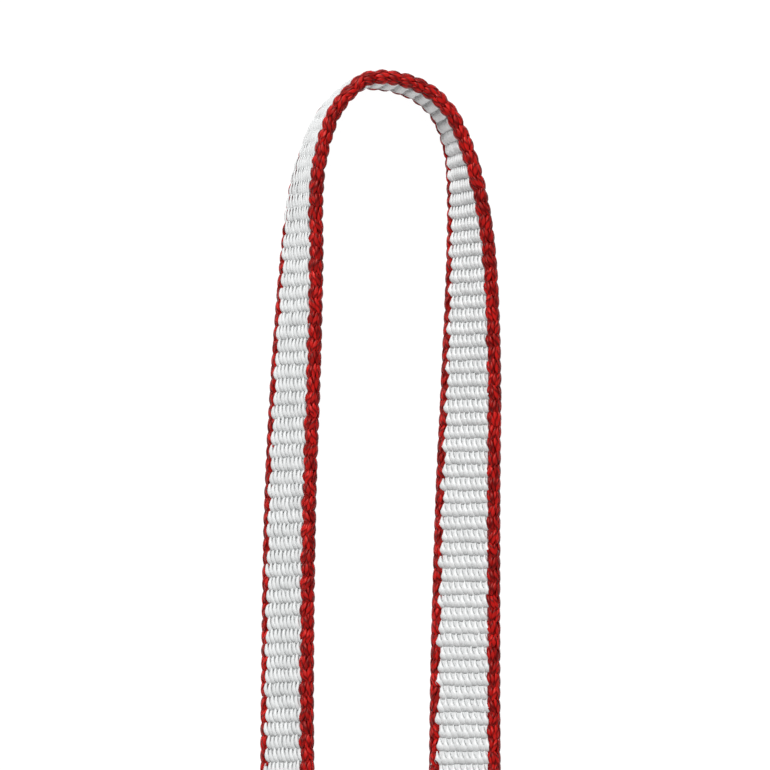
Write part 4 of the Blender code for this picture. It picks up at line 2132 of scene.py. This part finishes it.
@dataclass(frozen=True)
class YarnFinish(Finish):
    """A yarn: fine filaments, a random tone of its own for each float, and for a twisted one painted shade
    in its grooves.
    """

    sheen: float = 0.0
    specular: float = 0.5
    roughness_swing: float = 0.08
    sheen_roughness: float = 0.4
    along: float = 900.0
    across: float = 15000.0
    filament_depth: float = 0.35
    filament_height: float = 0.3
    spread: float = 0.6
    plies: float = 0.0
    lay_length: float = 1.0 * MM
    # The share of the dark colour in the grooves between the plies: painted shade.
    groove_painted_shade: float = 0.0
    gloss_tint: Colour = (1.0, 1.0, 1.0)

    def draw(self, maker: SurfaceMaker, filaments: bpy.types.NodeTree, twists: bpy.types.NodeTree
             ) -> Drawn:
        """Draws the filaments, and painted shade in the grooves.

        Args:
            maker: the material's nodes.
            filaments: the node group of fine filaments.
            twists: the node group of twisted plies.

        Returns:
            What the shader gets.
        """
        shade = maker.number("shade")
        fibres, height = maker.pattern(filaments, maker.place(), named_values(self, "along", "across"))
        share = maker.blend(shade * self.spread, fibres * self.filament_depth)
        if self.plies:
            grooves, twist = maker.pattern(
                twists, self.strand_place(maker, shade), named_values(self, "lay_length", "plies"))
            share = maker.blend(share, grooves * self.groove_painted_shade)
            height = height * self.filament_height + twist
        return share, height, {
            "Roughness": maker.result("ShaderNodeMapRange", {
                "Value": fibres,
                "To Min": self.roughness - self.roughness_swing,
                "To Max": self.roughness + self.roughness_swing,
            }),
            "Specular IOR Level": self.specular,
            "Specular Tint": (*self.gloss_tint, 1.0),
            "Sheen Weight": self.sheen,
            "Sheen Roughness": self.sheen_roughness,
        }

    def strand_place(self, maker: SurfaceMaker, shade: Value) -> Value:
        """The place along and round a float, mirrored on every other one so that twists alternate.

        Args:
            maker: the material's nodes.
            shade: the float's shade.

        Returns:
            The place.
        """
        along, around, _ = maker.split(maker.place("strand"))
        drawn = maker.math("FRACT", shade * STRAND_DRAWS)
        way = maker.math("SIGN", drawn - 0.5)
        return maker.combine(along + shade * self.lay_length, around * way)


def ray_kinds(maker: TreeMaker, *kinds: str) -> Value:
    """1 for rays of the given kinds and 0 for all others.

    Args:
        maker: adds the nodes.
        kinds: the kinds of rays, such as Camera.

    Returns:
        The value.
    """
    path = maker.add("ShaderNodeLightPath")
    found = maker.read(path, f"Is {kinds[0]} Ray")
    for kind in kinds[1:]:
        found = maker.math("MAXIMUM", found, maker.read(path, f"Is {kind} Ray"))
    return found


@dataclass(frozen=True)
class Lamp:
    """A square soft lamp that looks at the middle of the loop, from a place in metres from there."""

    name: str
    place: tuple[float, float, float]
    size: float
    power: float

    def hang(self) -> None:
        """Hangs the lamp."""
        data = bpy.data.lights.new(self.name, "AREA")
        data.shape = "SQUARE"
        data.size = self.size
        data.energy = self.power
        lamp = new_object(self.name, data)
        lamp.location = self.place
        lamp.rotation_mode = "QUATERNION"
        lamp.rotation_quaternion = (-Vector(self.place)).to_track_quat("-Z", "Y")


@dataclass
class Studio:
    """The floor, the lamps and the camera."""

    tape: TapeSizes
    camera_distance: float = 1.0
    camera_clip: tuple[float, float] = (0.01, 100.0)
    frame_width: float = 81.05 * MM
    sensor_width: float = 36.0
    swing: float = 9.0
    tip: float = 3.8
    aim_across: float = 1.13 * MM
    aim_below_crown: float = 31.82 * MM
    key: Lamp = Lamp("key_lamp", (-0.9, 2.0, 2.4), size=0.8, power=92.0)
    fill: Lamp = Lamp("fill_lamp", (0.2, -2.4, 0.7), size=1.2, power=16.0)
    floor_size: float = 30.0
    floor_drop: float = 0.02 * MM
    floor_grey: float = 0.8
    floor_roughness: float = 0.8
    floor_specular: float = 0.2
    floor_glow: float = 1.08
    shadow_share: float = 0.09
    world_light: float = 0.33

    def camera(self) -> None:
        """Sets the camera at the photograph's viewing angle."""
        data = bpy.data.cameras.new("camera")
        data.sensor_width = self.sensor_width
        data.lens = self.sensor_width * self.camera_distance / self.frame_width
        data.clip_start, data.clip_end = self.camera_clip
        camera = new_object("camera", data)
        swing = math.radians(self.swing)
        tip = math.radians(self.tip)
        back = Vector((-math.sin(swing) * math.cos(tip), -math.sin(tip), math.cos(swing) * math.cos(tip)))
        right = Vector((math.cos(swing), 0.0, math.sin(swing)))
        upward = back.cross(right)
        aim = Vector((self.aim_across, self.tape.crown_y - self.aim_below_crown, 0.0))
        matrix = Matrix((right, upward, back)).transposed().to_4x4()
        matrix.translation = aim + back * self.camera_distance
        camera.matrix_world = matrix
        bpy.context.scene.camera = camera

    def floor(self) -> None:
        """A plain pale floor, white to the camera but for part of the shadow."""
        half = self.floor_size / 2
        corners = [(-half, -half), (half, -half), (half, half), (-half, half)]
        mesh = mesh_from("floor", [(x, y, -self.floor_drop) for x, y in corners], [(0, 1, 2, 3)], False)
        surface = SurfaceMaker("floor_paper")
        surface.feed(surface.shader, {
            "Base Color": (self.floor_grey, self.floor_grey, self.floor_grey, 1.0),
            "Roughness": self.floor_roughness,
            "Specular IOR Level": self.floor_specular,
        })
        share = ray_kinds(surface, "Camera", "Glossy", "Transmission") * (1 - self.shadow_share)
        glow = surface.result("ShaderNodeEmission", {"Color": PLAIN_WHITE, "Strength": self.floor_glow})
        mixed = surface.result("ShaderNodeMixShader", {
            0: share, 1: surface.read(surface.shader, 0), 2: glow})
        surface.feed(surface.tree.nodes["Material Output"], {"Surface": mixed})
        mesh.materials.append(surface.material)
        new_object("floor", mesh)

    def world(self) -> None:
        """A soft even light all round, plain white to the camera."""
        world = bpy.data.worlds.new("studio")
        bpy.context.scene.world = world
        world.use_nodes = True
        maker = TreeMaker(world.node_tree)
        strength = maker.result("ShaderNodeMapRange", {
            "Value": ray_kinds(maker, "Camera", "Transmission"),
            "To Min": self.world_light,
            "To Max": 1.0,
        })
        maker.feed(maker.tree.nodes["Background"], {"Color": PLAIN_WHITE, "Strength": strength})

    def build(self) -> None:
        """Builds the studio."""
        self.camera()
        self.key.hang()
        self.fill.hang()
        self.floor()
        self.world()
        bpy.context.scene.view_settings.view_transform = "Standard"


def main() -> None:
    """Builds the sling's looks and its studio."""
    logging.basicConfig(level=logging.INFO, format="%(message)s")
    tape = TapeSizes()
    joint = JointSizes()
    path = TapePath(tape, joint)
    filaments = pattern_group("yarn_filaments", ("Along", "Across"), draw_filaments)
    twists = pattern_group("thread_plies", ("Lay Length", "Plies"), draw_plies)
    weave = pattern_group("label_weave", ("Pick Pitch", "End Pitch"), draw_cloth)
    white = YarnFinish(
        "white_yarn", (0.80, 0.81, 0.81), (0.64, 0.65, 0.65),
        roughness=0.40, sheen=0.05, specular=0.5,
    ).make(filaments, twists)
    # The outer face's yarn: the white yarn's colours painted darker, as shade, with a duller gloss.
    painted_shade_white = YarnFinish(
        "rubbed_white_yarn", (0.75, 0.76, 0.76), (0.60, 0.61, 0.61),
        roughness=0.52, sheen=0.08, specular=0.35,
    ).make(filaments, twists)
    # The red yarn's plies get painted shade in the grooves between them.
    red = YarnFinish(
        "red_yarn", (0.62, 0.010, 0.008), (0.12, 0.0004, 0.0008),
        roughness=0.42, sheen=0.0, specular=0.35, plies=1.0, groove_painted_shade=0.7, bump=0.5,
        gloss_tint=(1.0, 0.45, 0.40),
    ).make(filaments, twists)
    thread = ThreadFinish("sewing_thread", (0.60, 0.012, 0.012), (0.22, 0.001, 0.002)).make(twists)
    cloth = LabelFinish("label_cloth", (0.84, 0.84, 0.82), (0.55, 0.55, 0.54)).make(weave)
    melt = MeltFinish("melted_yarn", (0.70, 0.69, 0.64), (0.20, 0.004, 0.005)).make()
    Studio(tape).build()
    Core(path, tape).build(white, red)
    webbing = Weave(tape, path, WeaveTree())
    webbing.build(painted_shade_white, white, red)
    BarTacks(tape, joint, TackTree()).build(thread)
    Label(tape, joint).build(cloth)
    end = SealedEnd(path, tape)
    end.build("sealed_inner_end", True, melt, webbing.white_half_width)
    end.build("sealed_outer_end", False, melt, webbing.white_half_width)


if __name__ == "__main__":
    main()
